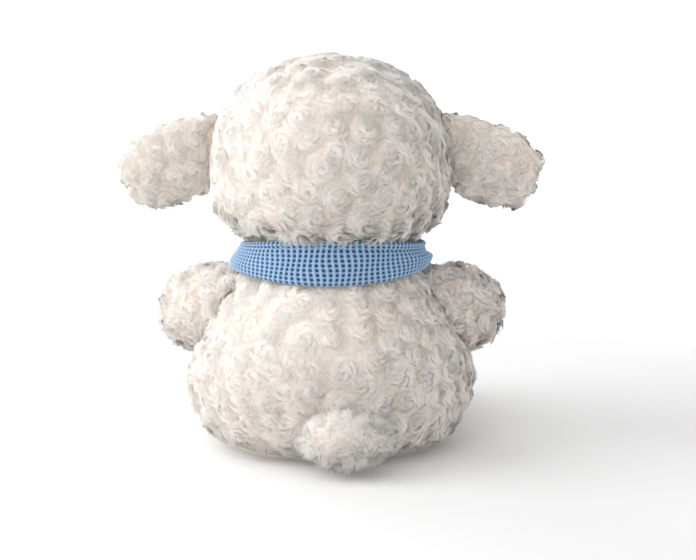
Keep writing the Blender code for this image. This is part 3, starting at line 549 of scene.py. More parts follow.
# Materials
class Nodes:
    """Adds nodes to a tree and joins them. A value may be a number, a colour or another socket."""

    def __init__(self, tree):
        self.tree = tree

    def put(self, socket, value):
        if isinstance(value, bpy.types.NodeSocket):
            self.tree.links.new(value, socket)
        elif socket.type == "RGBA":
            socket.default_value = (*value, 1.0)[:4]
        else:
            socket.default_value = value

    def add(self, kind, **values):
        """A new node with its properties and its inputs set by name."""
        made = self.tree.nodes.new("ShaderNode" + kind)
        for label, value in values.items():
            if hasattr(made, label):
                setattr(made, label, value)
            else:
                self.put(made.inputs[label.replace("_", " ")], value)
        return made

    def joined(self, kind, *values, **named):
        """The first output of a new node whose first inputs take these values."""
        made = self.add(kind, **named)
        for socket, value in zip(made.inputs, values):
            self.put(socket, value)
        return made.outputs[0]

    def maths(self, operation, *values):
        return self.joined("Math", *values, operation=operation)

    def times(self, first, second):
        return self.maths("MULTIPLY", first, second)

    def plus(self, first, second):
        return self.maths("ADD", first, second)

    def clamped(self, value):
        return self.joined("Clamp", value)

    def ranged(self, value, low, high, to_low=0.0, to_high=1.0, smooth=False):
        kind = "SMOOTHSTEP" if smooth else "LINEAR"
        return self.joined("MapRange", value, low, high, to_low, to_high, interpolation_type=kind)

    def noise(self, place, **values):
        return self.add("TexNoise", Vector=place, **values).outputs[0]

    def object_place(self):
        return self.add("TexCoord").outputs["Object"]

    def split(self, vector):
        return self.add("SeparateXYZ", Vector=vector).outputs

    def map_place(self):
        """The two ways of the map that the meshes carry."""
        return self.split(self.add("UVMap", uv_map=MAP).outputs[0])[:2]

    def mixed(self, factor, first, second, blend="MIX"):
        made = self.add("Mix", data_type="RGBA", blend_type=blend)
        for number, value in ((0, factor), (6, first), (7, second)):
            self.put(made.inputs[number], value)
        return made.outputs[2]

    def shaded(self, colour, grey):
        return self.mixed(1.0, colour, self.joined("CombineXYZ", grey, grey, grey), "MULTIPLY")

    def seen(self):
        """1 for the rays that show a thing to the camera, and 0 for those that light it."""
        path = self.add("LightPath").outputs
        seen = self.maths("MAXIMUM", path["Is Camera Ray"], path["Is Glossy Ray"])
        return self.maths("MAXIMUM", seen, path["Is Transmission Ray"])


def new_group(name, outputs, **inputs):
    """A shader node group with these sockets: its nodes, what it is given and what it gives."""
    group = bpy.data.node_groups.new(name, "ShaderNodeTree")
    for label, value in inputs.items():
        kind = "NodeSocketColor" if isinstance(value, tuple) else "NodeSocketFloat"
        socket = group.interface.new_socket(label.replace("_", " "), in_out="INPUT", socket_type=kind)
        socket.default_value = value
    for label in outputs:
        kind = "NodeSocketColor" if label == "Color" else "NodeSocketFloat"
        group.interface.new_socket(label, in_out="OUTPUT", socket_type=kind)
    given = group.nodes.new("NodeGroupInput").outputs
    return Nodes(group), given, group.nodes.new("NodeGroupOutput").inputs


def pile_group():
    """Colour of a fibre from its tone, across its map, and from root to tip, up it. Towards its root, and
    more where its tone is lower, it takes the root colour: painted shade deep in the pile. Its tips get a
    painted highlight.
    """
    nodes, given, gives = new_group(
        "pile_colour",
        ("Color", "Roughness"),
        Root=(0.7, 0.6, 0.5, 1.0),
        Tip=(0.9, 0.9, 0.85, 1.0),
        Contrast=1.0,
    )
    tone, along = nodes.map_place()
    # Painted shade: the lower part of each fibre takes the root colour
    rise = nodes.ranged(along, 0.0, 0.38, smooth=True)
    depth = nodes.times(nodes.ranged(tone, 0.10, 0.75, -0.55, 0.12), given["Contrast"])
    share = nodes.clamped(nodes.plus(rise, depth))
    plain = nodes.mixed(share, given["Root"], given["Tip"])
    # Painted highlight: up to 4% lighter over the last quarter to the tip
    nodes.put(gives["Color"], nodes.shaded(plain, nodes.ranged(along, 0.75, 1.0, 1.0, 1.04)))
    nodes.put(gives["Roughness"], nodes.ranged(along, 0.0, 1.0, 0.85, 0.62))
    return nodes.tree


def cloth_group():
    """Woven backing: threads over and under, with their colour and height, on object places. Its dark colour
    where the weave dips is painted shade, and its mottle a random tone.
    """
    nodes, given, gives = new_group(
        "woven_cloth",
        ("Color", "Height", "Roughness"),
        Light=(0.8, 0.8, 0.8, 1.0),
        Dark=(0.6, 0.6, 0.6, 1.0),
        Threads_per_metre=1400.0,
        Mottle=0.4,
    )
    place = nodes.object_place()
    scaled = nodes.add("VectorMath", operation="SCALE", Scale=given["Threads per metre"])
    nodes.put(scaled.inputs[0], place)
    x, y, z = nodes.split(scaled.outputs[0])
    across = nodes.maths("SINE", x)
    along = nodes.maths("SINE", nodes.plus(y, z))
    weave = nodes.ranged(nodes.times(across, along), -1.0, 1.0)
    cloud = nodes.noise(place, Scale=90.0, Detail=5.0)
    # Painted shade where the weave dips, mottled at random
    share = nodes.clamped(nodes.plus(nodes.times(weave, 0.6), nodes.times(cloud, given["Mottle"])))
    nodes.put(gives["Color"], nodes.mixed(share, given["Dark"], given["Light"]))
    nodes.put(gives["Height"], weave)
    nodes.put(gives["Roughness"], nodes.ranged(cloud, 0.3, 0.7, 0.82, 0.96))
    return nodes.tree


WANDER = 0.16  # how far the ribs of a knit stray, in ribs
WANDER_RATE = 0.75  # the phase that their straying runs through, from row to row
BAND_WAVES = 16 * pi  # the same, once round the band
HOLE_SHADE_SHARES = (0.08, 0.14, 0.24)  # of the yarn's red, green and blue: painted shade down in the knit's holes


def knit_group():
    """Yarn of a knit from its map: across in ribs, along in rows, with painted shade down in its holes and
    between its rows, and painted shade and highlight along the twist of its ply.
    """
    nodes, given, gives = new_group(
        "ribbed_knit",
        ("Color", "Height", "Roughness"),
        Yarn=(0.2, 0.4, 0.7, 1.0),
        Hole=(0.05, 0.12, 0.25, 1.0),
        Ribs=100.0,
        Rows=24.0,
        Turns=0.0,
    )
    times, plus, ranged = nodes.times, nodes.plus, nodes.ranged
    across, along = nodes.map_place()
    row = times(along, given["Rows"])
    drift = nodes.maths("SINE", plus(times(row, WANDER_RATE), times(across, given["Turns"])))
    rib = plus(times(across, given["Ribs"]), times(drift, WANDER))
    ribs, rows = (ranged(nodes.maths("COSINE", times(value, 2 * pi)), -1.0, 1.0) for value in (rib, row))
    # Painted shade: the hole colour fills in between the ribs and, more thinly, between the rows
    body = nodes.maths("MAXIMUM", ribs, times(rows, 0.55))
    body = times(body, ranged(rows, 0.0, 1.0, 0.64, 1.0))
    stretched = nodes.joined("CombineXYZ", times(rib, 6.0), times(row, 3.0))
    ply = nodes.noise(stretched, Scale=1.0, Detail=3.0, Roughness=0.6)
    twist = nodes.maths("SINE", plus(times(row, 4 * pi), times(rib, 9.0)))
    # Painted shade and highlight along the twist of the ply, times a random tone from the ply noise
    shade = times(ranged(twist, -1.0, 1.0, 0.80, 1.06), ranged(ply, 0.25, 0.75, 0.84, 1.12))
    plain = nodes.mixed(ranged(body, 0.15, 0.68, smooth=True), given["Hole"], given["Yarn"])
    nodes.put(gives["Color"], nodes.shaded(plain, shade))
    nodes.put(gives["Height"], plus(times(twist, 0.5), ply))
    nodes.put(gives["Roughness"], ranged(ply, 0.3, 0.7, 0.72, 0.92))
    return nodes.tree


def thread_group():
    """Twisted or satin-stitched thread on object places, with painted shade in the grooves of its twist."""
    nodes, given, gives = new_group(
        "sewn_thread",
        ("Color", "Height", "Roughness"),
        Light=(0.4, 0.2, 0.2, 1.0),
        Dark=(0.2, 0.1, 0.1, 1.0),
        Turns_per_metre=2400.0,
    )
    place = nodes.object_place()
    x, y, z = nodes.split(place)
    slant = nodes.plus(x, nodes.plus(nodes.times(y, 0.4), z))
    twist = nodes.maths("SINE", nodes.times(slant, given["Turns per metre"]))
    height = nodes.ranged(twist, -1.0, 1.0)
    cloud = nodes.noise(place, Scale=700.0, Detail=3.0)
    # Painted shade: the dark colour lies in the grooves of the twist, mottled by noise
    share = nodes.clamped(nodes.times(height, nodes.ranged(cloud, 0.2, 0.8, 0.6, 1.4)))
    nodes.put(gives["Color"], nodes.mixed(share, given["Dark"], given["Light"]))
    nodes.put(gives["Height"], height)
    nodes.put(gives["Roughness"], nodes.ranged(cloud, 0.3, 0.7, 0.45, 0.62))
    return nodes.tree


EFFECTS = {
    "pile_colour": pile_group,
    "woven_cloth": cloth_group,
    "ribbed_knit": knit_group,
    "sewn_thread": thread_group,
}


def new_material(name):
    """A new material, its nodes and its shader's inputs."""
    made = bpy.data.materials.new(name)
    made.use_nodes = True
    return made, Nodes(made.node_tree), made.node_tree.nodes["Principled BSDF"].inputs


def grouped_material(name, group_name, bump=0.0, bump_distance=0.0, sheen=0.0, shine=0.3, **values):
    """A material whose colour, roughness and bump come from a node group."""
    made, nodes, shader = new_material(name)
    shader["Specular IOR Level"].default_value = shine
    shader["Sheen Weight"].default_value = sheen
    shader["Sheen Roughness"].default_value = 0.5
    group = nodes.add("Group", node_tree=bpy.data.node_groups.get(group_name) or EFFECTS[group_name]())
    for label, value in values.items():
        nodes.put(group.inputs[label], value)
    nodes.put(shader["Base Color"], group.outputs["Color"])
    nodes.put(shader["Roughness"], group.outputs["Roughness"])
    if bump:
        height = group.outputs["Height"]
        raised = nodes.add("Bump", Strength=bump, Distance=bump_distance, Height=height)
        nodes.put(shader["Normal"], raised.outputs[0])
    return made


def darker(colour, *shares):
    """A colour times one share, or times one for each of its parts."""
    return tuple(part * share for part, share in zip(colour, shares * 3))


def material(name):
    """The finish of this name, made when it is first asked for."""
    if name in bpy.data.materials:
        return bpy.data.materials[name]
    wool, face = settings("wool"), settings("face")
    # Each pile's root colour is painted shade deep in the pile; for the tail, face and linings it is a
    # darker share of the tip
    piles = {
        "curly_pile": (wool.root, wool.tip, 1.0),
        "tail_pile": (darker(wool.tip, 0.86), wool.tip, 0.6),
        "face_pile": (darker(face.face_tip, 0.72), face.face_tip, 0.7),
        "lining_pile": (darker(face.lining_tip, 0.72), face.lining_tip, 0.7),
    }
    if name in piles:
        root, tip, contrast = piles[name]
        given = {"Root": root, "Tip": tip, "Contrast": contrast}
        return grouped_material(name, "pile_colour", sheen=0.15, shine=0.25, **given)
    # Each cloth's dark colour is painted shade where its weave dips; the wool backing's is the pile's root
    # colour, itself painted shade
    cloths = {
        "wool_backing": (darker(wool.tip, 0.90), wool.root),
        "face_backing": (face.face_tip, darker(face.face_tip, 0.75)),
        "lining_backing": (face.lining_tip, darker(face.lining_tip, 0.75)),
        "seat_weave": ((0.80, 0.77, 0.71), (0.62, 0.58, 0.52)),
    }
    if name in cloths:
        light, dark = cloths[name]
        return grouped_material(name, "woven_cloth", 0.6, 0.0003, 0.2, Light=light, Dark=dark)
    # Each thread's second colour is painted shade for the grooves of its twist
    threads = {
        "nose_satin": (face.nose, darker(face.nose, 0.45)),
        "sewing_cotton": ((0.85, 0.82, 0.76), (0.60, 0.56, 0.50)),
    }
    light, dark = threads[name]
    return grouped_material(name, "sewn_thread", 0.5, 0.0002, 0.1, Light=light, Dark=dark)


def knit_material(name, ribs, rows, turns=0.0):
    yarn = settings("scarf").yarn
    # The hole colour is painted shade, a darker share of the yarn
    given = {"Yarn": yarn, "Hole": darker(yarn, *HOLE_SHADE_SHARES), "Ribs": ribs, "Rows": rows, "Turns": turns}
    return grouped_material(name, "ribbed_knit", 0.5, 0.00025, 0.45, **given)


def plastic_material(name, colour, roughness, coat):
    """Moulded plastic: fine mould grain and handling marks in its gloss."""
    made, nodes, shader = new_material(name)
    cloud = nodes.noise(nodes.object_place(), Scale=900.0, Detail=4.0)
    grain = nodes.ranged(cloud, 0.3, 0.7)
    nodes.put(shader["Base Color"], nodes.mixed(grain, darker(colour, 0.8), colour))
    nodes.put(shader["Roughness"], nodes.ranged(cloud, 0.3, 0.7, roughness, roughness * 1.6))
    shader["Coat Weight"].default_value = coat
    return made


# Padded skins: how full they are, the spacing of their nets, their relief and their curls' spacing
LARGE_NET, LIMB_NET, EAR_NET, PANEL_NET, SHEET_NET = 0.0030, 0.0024, 0.0017, 0.0012, 0.0005
LARGE_RELIEF, LIMB_RELIEF = 0.0020, 0.0015
LIMB_GAP, TAIL_GAP, FACE_GAP = 0.0105, 0.010, 0.012
SHEET_SWELL = 0.0007  # how far a sole or lining swells over its solid

# Where the pile stops: below the scarf, under its upper edge, above the seat and down in the scarf
BELOW_SCARF, UNDER_SCARF, ABOVE_SEAT, DOWN_IN_SCARF = 0.0002, 0.0010, 0.0055, 0.0082
FACE_EDGE, PAD_EDGE, MUZZLE_EDGE, NOSE_EDGE = 0.97, 0.94, 0.93, 0.98  # the share of a part that is kept bare
FACE_DEPTH, PAD_DEPTH, PAD_SEAM = 0.006, 0.003, 0.0006  # how far behind and round the part
EYE_CLEAR = 0.0056  # from the middle of an eye
FACE_BACK = -0.045  # the face's short pile is in front of this
MOUTH_CLEAR, MOUTH_REACH = 0.0012, 1.05  # above and below the mouth's stitches, and past its ends
MOUTH_LOW, MOUTH_THICK = 0.0008, 0.0014  # the middle of its thread over its box, and what that takes off

# How far the head's pile is brushed down, how much further at the jaw, from how high over it, and in
# what height that grows
HEAD_COMB, JAW_COMB, JAW_HIGH, JAW_OVER = 0.2, 0.6, 0.026, 0.016

# The length and lift of each limb's pile, and how the tail's tuft and the short pile differ from it
LIMB_PILES = {"arm": (0.0075, 0.0028), "leg": (0.0075, 0.0015), "ear": (0.0070, 0.0013)}
TUFT = {"length": 0.0028, "lift": 0.0034, "share": 1.5, "comb": 0.1, "upright": 1.0}
SHORT_LIFT, SHORT_PILE = 0.55, {"share": 1.6, "comb": 2.0}

EAR_SINK, EAR_IN, EAR_ROOT_IN = 0.0070, 0.0060, 0.0028  # how far an ear hangs
SEAT_SEAM, SEAT_ROUND, SEAT_SIDES = 0.0003, 0.0006, 96


def padded_skin(
    stem, body, net, height=0.0, extra=(), shell=True, swollen=False,
    backing="wool_backing", slot="curly_wool_plush", gap=None, swell=0.0, hang=None,
):
    """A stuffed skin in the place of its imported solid, swollen by its filling and shaped by curls."""
    skin = finished(stem + "_padding", closed_form(stem, shell))
    even_mesh(skin, net)
    if hang:
        place_vertices(skin.data, hang(coordinates(skin.data)))
    if swollen:
        fill_with_air(skin)
    rng = np.random.default_rng(settings("stage").seed + list(SKINS).index(stem))
    curls = Curls(skin.data, gap or settings("wool").curl_spacing, rng)
    relief(skin, curls, height)
    if swell:
        place_vertices(skin.data, coordinates(skin.data) + vertex_normals(skin.data) * swell)
    skin.data.materials.clear()
    skin.data.materials.append(material(backing))
    skin.data.shade_smooth()
    packed = (stem + "_skin", stem + "_stuffing", *extra) if shell else (stem,)
    sewn(skin, body, slot, *packed)
    return skin, curls


def round_share(points, node_name):
    """How far out each point lies on a round part, seen from the front: 1 at its edge."""
    middle, half = middle_and_half(node_name)
    flat = (points - np.array(middle)) / np.array(half)
    return np.hypot(flat[:, 0], flat[:, 2])


def clear_of(node_name):
    """Leaves out the roots of pile that a pad covers: those in its box, a little inside its edge."""
    middle, half = (np.array(vector) for vector in middle_and_half(node_name))
    half += PAD_SEAM
    thin = int(np.argmin(half))
    wide = [axis for axis in range(3) if axis != thin]

    def keep(points):
        away = points - middle
        covered = np.hypot(*(away / half)[:, wide].T) < PAD_EDGE
        return ~(covered & (np.abs(away[:, thin]) < half[thin] + PAD_DEPTH))

    return keep


class BodyOperator(bpy.types.Operator):
    """Sews the body: its padded skin, its pile and its seat panel"""

    bl_idname = "sheep.body"
    bl_label = "Body"

    def execute(self, context):
        made = padded_skin("body", "body", LARGE_NET, LARGE_RELIEF, extra=("pellet_bag",), swollen=True)
        steps, low, high = band_edges()[:3]

        def keep(points):
            """Leaves the skin bare under the scarf, and at the seat."""
            turn = np.arctan2(points[:, 0], points[:, 1])
            under = points[:, 2] < np.interp(turn, steps, low) - BELOW_SCARF
            over = points[:, 2] > np.interp(turn, steps, high) - UNDER_SCARF
            return (under | over) & (points[:, 2] > ABOVE_SEAT)

        pile("body", *made, "body", keep)
        self.seat()
        return {"FINISHED"}

    def seat(self):
        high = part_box("base_panel")[1]
        mesh = bmesh.new()
        bmesh.ops.create_circle(mesh, cap_ends=True, segments=SEAT_SIDES, radius=1.0)
        size = (high.x - SEAT_SEAM, high.y - SEAT_SEAM, 1.0)
        bmesh.ops.scale(mesh, vec=size, verts=mesh.verts)
        raised = bmesh.ops.extrude_face_region(mesh, geom=mesh.faces[:])["geom"]
        bmesh.ops.translate(mesh, vec=(0.0, 0.0, high.z), verts=of_kind(raised, bmesh.types.BMVert))
        rim = [edge for edge in mesh.edges if edge.calc_face_angle(0.0) > 1.0]
        bmesh.ops.bevel(
            mesh, geom=rim, offset=SEAT_ROUND, segments=3, affect="EDGES", profile=0.5, material=-1
        )
        bmesh.ops.recalc_face_normals(mesh, faces=mesh.faces)
        panel = finished("seat_panel", mesh, material("seat_weave"))
        panel.data.set_sharp_from_angle(angle=radians(35))
        sewn(panel, "body", "seat_cloth", "base_panel")


class HeadOperator(bpy.types.Operator):
    """Sews the head: its padded skin and the pile round its face"""

    bl_idname = "sheep.head"
    bl_label = "Head"

    def execute(self, context):
        made = padded_skin("head", "head", LARGE_NET, LARGE_RELIEF, swollen=True)
        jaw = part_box("scarf_band")[1].z - DOWN_IN_SCARF
        face_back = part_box("face_panel")[1].y + FACE_DEPTH

        def comb(points):
            """Brushes the pile down more and more towards the jaw."""
            return HEAD_COMB + JAW_COMB * np.clip((jaw + JAW_HIGH - points[:, 2]) / JAW_OVER, 0, 1)

        def keep(points):
            """Leaves the skin bare in the scarf and under the face."""
            front = points[:, 1] < min(0.0, face_back)
            return (points[:, 2] > jaw) & ~(front & (round_share(points, "face_panel") < FACE_EDGE))

        pile("head", *made, "head", keep, comb=comb)
        return {"FINISHED"}


class LimbOperator(bpy.types.Operator):
    """Sews the ears, arms, legs and tail"""

    bl_idname = "sheep.limbs"
    bl_label = "Ears, arms, legs and tail"

    def execute(self, context):
        for side in SIDES:
            for limb, net, pad, hang in (
                ("arm", LIMB_NET, None, None),
                ("leg", LIMB_NET, f"sole_{side}", None),
                ("ear", EAR_NET, f"ear_{side}_lining", ear_hang),
            ):
                name = f"{limb}_{side}"
                made = padded_skin(name, name, net, LIMB_RELIEF, gap=LIMB_GAP, hang=hang)
                length, lift = LIMB_PILES[limb]
                pile(name, *made, name, pad and clear_of(pad), length=length, lift=lift)
        made = padded_skin("tail", "tail", LIMB_NET, slot="tail_tuft_plush", gap=TAIL_GAP)
        pile("tail", *made, "tail", finish="tail_pile", slot="tail_tuft_plush", **TUFT)
        return {"FINISHED"}


def ear_hang(points):
    """Lets the upper edge of an ear sink towards its tip, as its filling does."""
    across = np.abs(points[:, 0])
    out = (across - across.min()) / np.ptp(across)
    middle, top = points[:, 2].mean(), points[:, 2].max()
    up = np.clip((points[:, 2] - middle) / (top - middle), 0, 1)
    sunk = points.copy()
    sunk[:, 2] -= EAR_SINK * out**2.5 * up
    sunk[:, 0] -= np.sign(points[:, 0]) * (EAR_IN * out * up + EAR_ROOT_IN * (1 - out) ** 2)
    return sunk


# Face
EYE_RIM, EYE_RIM_HEIGHT, EYE_SEAT = 0.97, 0.0012, 0.92  # an eye's rim and the flat of its seat
EYE_SEAT_FROM, STEM_CLEAR = 0.8, 0.002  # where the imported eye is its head, and where its stem
EYE_STEPS, EYE_SIDES = 8, 48
NOSE_STITCHES, STITCH_STEPS, STITCH_SIDES = 15, 8, 8
NOSE_WIDE, NOSE_TURN, NOSE_BACK = 0.95, 0.96, 0.90  # the stitches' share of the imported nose
NOSE_LEAN = 0.18  # how much flatter the nose is at its sides
STITCH_LAP = 1.12
EYE_ENDS_APART = 0.0004  # by which an eye's dome is wider than its stem, at least


class FaceOperator(bpy.types.Operator):
    """Sews the face: its panel, muzzle, nose, mouth and eyes, the ear linings and the soles"""

    bl_idname = "sheep.face"
    bl_label = "Face, linings and soles"

    def execute(self, context):
        length = settings("face").short_pile
        eyes = [middle_and_half(f"eye_{side}")[0] for side in SIDES]
        mouth_low, mouth_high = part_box("mouth_stitch")

        def on_face(points):
            clear = round_share(points, "muzzle") > MUZZLE_EDGE
            for eye in eyes:
                clear &= np.hypot(points[:, 0] - eye.x, points[:, 2] - eye.z) > EYE_CLEAR
            return clear & (points[:, 1] < FACE_BACK)

        def on_muzzle(points):
            share = points[:, 0] / (mouth_high.x - mouth_low.x) * 2
            mouth = mouth_low.z + MOUTH_LOW + (mouth_high.z - mouth_low.z - MOUTH_THICK) * share**2
            on_mouth = (np.abs(share) < MOUTH_REACH) & (np.abs(points[:, 2] - mouth) < MOUTH_CLEAR)
            return (round_share(points, "nose") > NOSE_EDGE) & ~on_mouth

        plush, lining = ("face", "short_pile_plush"), ("lining", "ear_lining_plush")
        for name, body, keep, (finish, slot) in (
            ("face_panel", "head", on_face, plush),
            ("muzzle", "head", on_muzzle, plush),
            ("sole_left", "leg_left", None, plush),
            ("sole_right", "leg_right", None, plush),
            ("ear_left_lining", "ear_left", None, lining),
            ("ear_right_lining", "ear_right", None, lining),
        ):
            net, swell = (PANEL_NET, 0.0) if body == "head" else (SHEET_NET, SHEET_SWELL)
            sheet = {"backing": finish + "_backing", "slot": slot, "gap": FACE_GAP, "swell": swell}
            made = padded_skin(name, body, net, shell=False, **sheet)
            size = {"length": length, "lift": length * SHORT_LIFT}
            pile(name, *made, body, keep, finish + "_pile", slot, **size, **SHORT_PILE)
        self.eyes()
        self.nose(*middle_and_half("nose"))
        washer = plastic_material("washer_moulding", (0.8, 0.8, 0.8), 0.4, 0.0)
        for node_name, finish in (
            ("mouth_stitch", material("nose_satin")),
            ("neck_thread", material("sewing_cotton")),
            ("eye_washer_left", washer),
            ("eye_washer_right", washer),
        ):
            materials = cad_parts[node_name].data.materials
            materials.clear()
            materials.append(finish)
        return {"FINISHED"}

    def eyes(self):
        """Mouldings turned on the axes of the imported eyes: a stem, a seat with a rounded rim, a dome."""
        gloss = plastic_material("eye_moulding", tuple(settings("face").eye), 0.06, 0.6)
        for side in SIDES:
            points = coordinates(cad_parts[f"eye_{side}"].data)
            middle = points.mean(axis=0)
            axis = eye_axis(points, middle)
            along, radius = from_axis(points, middle, axis)
            wide = radius.max()
            seat = along[radius > wide * EYE_SEAT_FROM].min()
            stem = radius[along < seat - STEM_CLEAR].max()
            rim, start = wide * EYE_RIM, seat + EYE_RIM_HEIGHT
            profile = [(0.0, along.min()), (stem, along.min()), (stem, seat), (wide * EYE_SEAT, seat)]
            profile += [(wide, seat + EYE_RIM_HEIGHT / 2), (rim, start)]
            for step in range(1, EYE_STEPS + 1):
                angle = step / EYE_STEPS * pi / 2
                profile.append((rim * cos(angle), start + (along.max() - start) * sin(angle)))
            mesh = bmesh.new()
            verts = [mesh.verts.new((max(r, 0.0), 0.0, z)) for r, z in profile]
            edges = [mesh.edges.new(pair) for pair in zip(verts, verts[1:])]
            bmesh.ops.spin(
                mesh, geom=verts + edges, axis=(0, 0, 1), angle=2 * pi, steps=EYE_SIDES, use_merge=True
            )
            bmesh.ops.remove_doubles(mesh, verts=mesh.verts, dist=JOIN)
            bmesh.ops.recalc_face_normals(mesh, faces=mesh.faces)
            turn = Vector(axis).to_track_quat("Z", "Y").to_matrix().to_4x4()
            bmesh.ops.transform(mesh, matrix=Matrix.Translation(middle) @ turn, verts=mesh.verts)
            eye = finished(f"eye_moulded_{side}", mesh, gloss)
            eye.data.set_sharp_from_angle(angle=radians(50))
            sewn(eye, "head", "eye_plastic", f"eye_{side}")

    def nose(self, middle, half):
        """Satin stitches side by side over the nose's padding."""
        mesh = bmesh.new()
        back = middle + Vector((0.0, half.y * NOSE_BACK, 0.0))
        for number in range(NOSE_STITCHES):
            share = (number + 0.5) / NOSE_STITCHES * 2 - 1
            reach = (1 - abs(share) ** 2.4) ** 0.5
            lean = 1 - NOSE_LEAN * abs(share)
            path = []
            for step in range(STITCH_STEPS + 1):
                angle = (step / STITCH_STEPS - 0.5) * pi * NOSE_TURN
                out = half.y * 2 * reach * cos(angle) * lean
                up = half.z * reach * sin(angle) * NOSE_TURN
                path.append(Vector((share * half.x * NOSE_WIDE, -out, up)) + back)
            tube_along(mesh, path, half.x / NOSE_STITCHES * STITCH_LAP, STITCH_SIDES)
        sewn(finished("nose_stitches", mesh, material("nose_satin")), "head", "nose_thread", "nose")


def from_axis(points, middle, axis):
    """How far each point lies along an axis through the middle, and how far from it."""
    away = points - middle
    along = away @ axis
    return along, np.linalg.norm(away - along[:, None] * axis, axis=1)


def eye_axis(points, middle):
    """The way an eye looks: the axis that it is roundest about and has a narrower end on."""
    spread = np.linalg.eigh(np.cov((points - middle).T))[1]
    best = (9.0, None)
    for axis in spread.T:
        along, radius = from_axis(points, middle, axis)
        low, high = np.percentile(along, (12, 88))
        roundness = np.std(radius[radius > radius.max() * 0.95]) / radius.max()
        apart = abs(radius[along < low].max() - radius[along > high].max())
        if roundness < best[0] and apart > EYE_ENDS_APART:
            best = (roundness, axis)
    axis = best[1]
    return axis * (1 if axis[1] < 0 else -1)


def tube_along(mesh, path, radius, sides):
    """A closed round tube through these points, extruded from one ring to the next."""
    frames = []
    for number, point in enumerate(path):
        ahead = path[min(number + 1, len(path) - 1)] - path[max(number - 1, 0)]
        turn = ahead.to_track_quat("Z", "X").to_matrix().to_4x4()
        frames.append(Matrix.Translation(point) @ turn @ Matrix.Scale(radius, 4))
    verts = bmesh.ops.create_circle(mesh, segments=sides, radius=1.0)["verts"]
    first = edges = list(dict.fromkeys(edge for vert in verts for edge in vert.link_edges))
    bmesh.ops.transform(mesh, matrix=frames[0], verts=verts)
    faces = []
    for before, after in zip(frames, frames[1:]):
        grown = bmesh.ops.extrude_edge_only(mesh, edges=edges)["geom"]
        edges = of_kind(grown, bmesh.types.BMEdge)
        faces += of_kind(grown, bmesh.types.BMFace)
        verts = of_kind(grown, bmesh.types.BMVert)
        bmesh.ops.transform(mesh, matrix=after @ before.inverted(), verts=verts)
    for end in (first, edges):
        faces += bmesh.ops.holes_fill(mesh, edges=end)["faces"]
    bmesh.ops.recalc_face_normals(mesh, faces=faces)


# Scarf
BAND_FACE, END_FACE = 0.80, 0.5  # share of the way round its section that a knit's outer face takes
KNOT_RIBS, KNOT_ROWS, END_RIBS = 18, 11, 6
STITCH = 6  # corners of the net to a rib or a row; the band has one fewer to a row
BAND_THICK, BAND_CLEAR = 0.0034, 0.0004  # the band's knit, and how far it lies off its solid's inside
CREASE, CREASE_AT, CREASE_WAVES, CREASE_WIDE = 0.0011, 0.80, 0.05, 0.035  # along the band, up it
FOLDS = 0.0005
LEAN_AT, LEAN_WIDE = radians(95), radians(55)  # where the band leans in to the neck
LEAN_BELOW, LEAN_IN = 0.0026, 0.0070  # its lower edge is this far out there, and its upper this less
TUCK_AT, TUCK_WIDE, TUCK_LINE, TUCK_SLANT, TUCK_SOFT = radians(80), radians(25), 0.52, 0.10, 0.03
TUCK_OUT, TUCK_IN = 0.0032, 0.0014  # where the band laps over itself: its lower half, its upper half
KNOT_FILL, KNOT_PINCH, KNOT_SLANT = 0.7, 0.10, 0.25
KNOT_CREASE, KNOT_CREASE_WIDE = 0.07, 0.07
END_FRONT, END_BACK, END_FOLD = 0.0013, 0.0012, 0.0015  # the half thicknesses of an end, and its folds


def knit_grid(name, rounds, along, place, joined, finish):
    """A closed knit skin: its section runs round both faces, and its length from end to end."""
    form = bmesh.new()
    bmesh.ops.create_grid(form, x_segments=along, y_segments=rounds, size=0.5)
    made = bpy.data.meshes.new(name)
    form.to_mesh(made)
    form.free()
    map_places = coordinates(made)[:, :2] + 0.5
    layer = made.uv_layers.new(name=MAP)
    numbers = np.empty(len(made.loops), np.int32)
    made.loops.foreach_get("vertex_index", numbers)
    layer.data.foreach_set("uv", map_places[numbers].astype(np.float32).ravel())
    place_vertices(made, place(*map_places.T))
    mesh = bmesh.new()
    mesh.from_mesh(made)
    bpy.data.meshes.remove(made)
    bmesh.ops.remove_doubles(mesh, verts=mesh.verts, dist=JOIN)
    if not joined:
        bmesh.ops.holes_fill(mesh, edges=[edge for edge in mesh.edges if edge.is_boundary])
    bmesh.ops.recalc_face_normals(mesh, faces=mesh.faces)
    return finished(name, mesh, finish)


def bump_of(rib, row, depth, turn=0.0):
    """Height of the knit's face at a rib and row: ribs stand out, bars cross between them."""
    rib = rib + WANDER * np.sin(WANDER_RATE * row + turn)
    ribs, rows = ((np.cos(2 * pi * value) + 1) / 2 for value in (rib, row))
    rib_height = ribs**0.8 * (0.78 + 0.22 * rows)
    bar_height = 0.62 * rows**0.9
    return depth * (np.maximum(rib_height, bar_height) - 1.0)


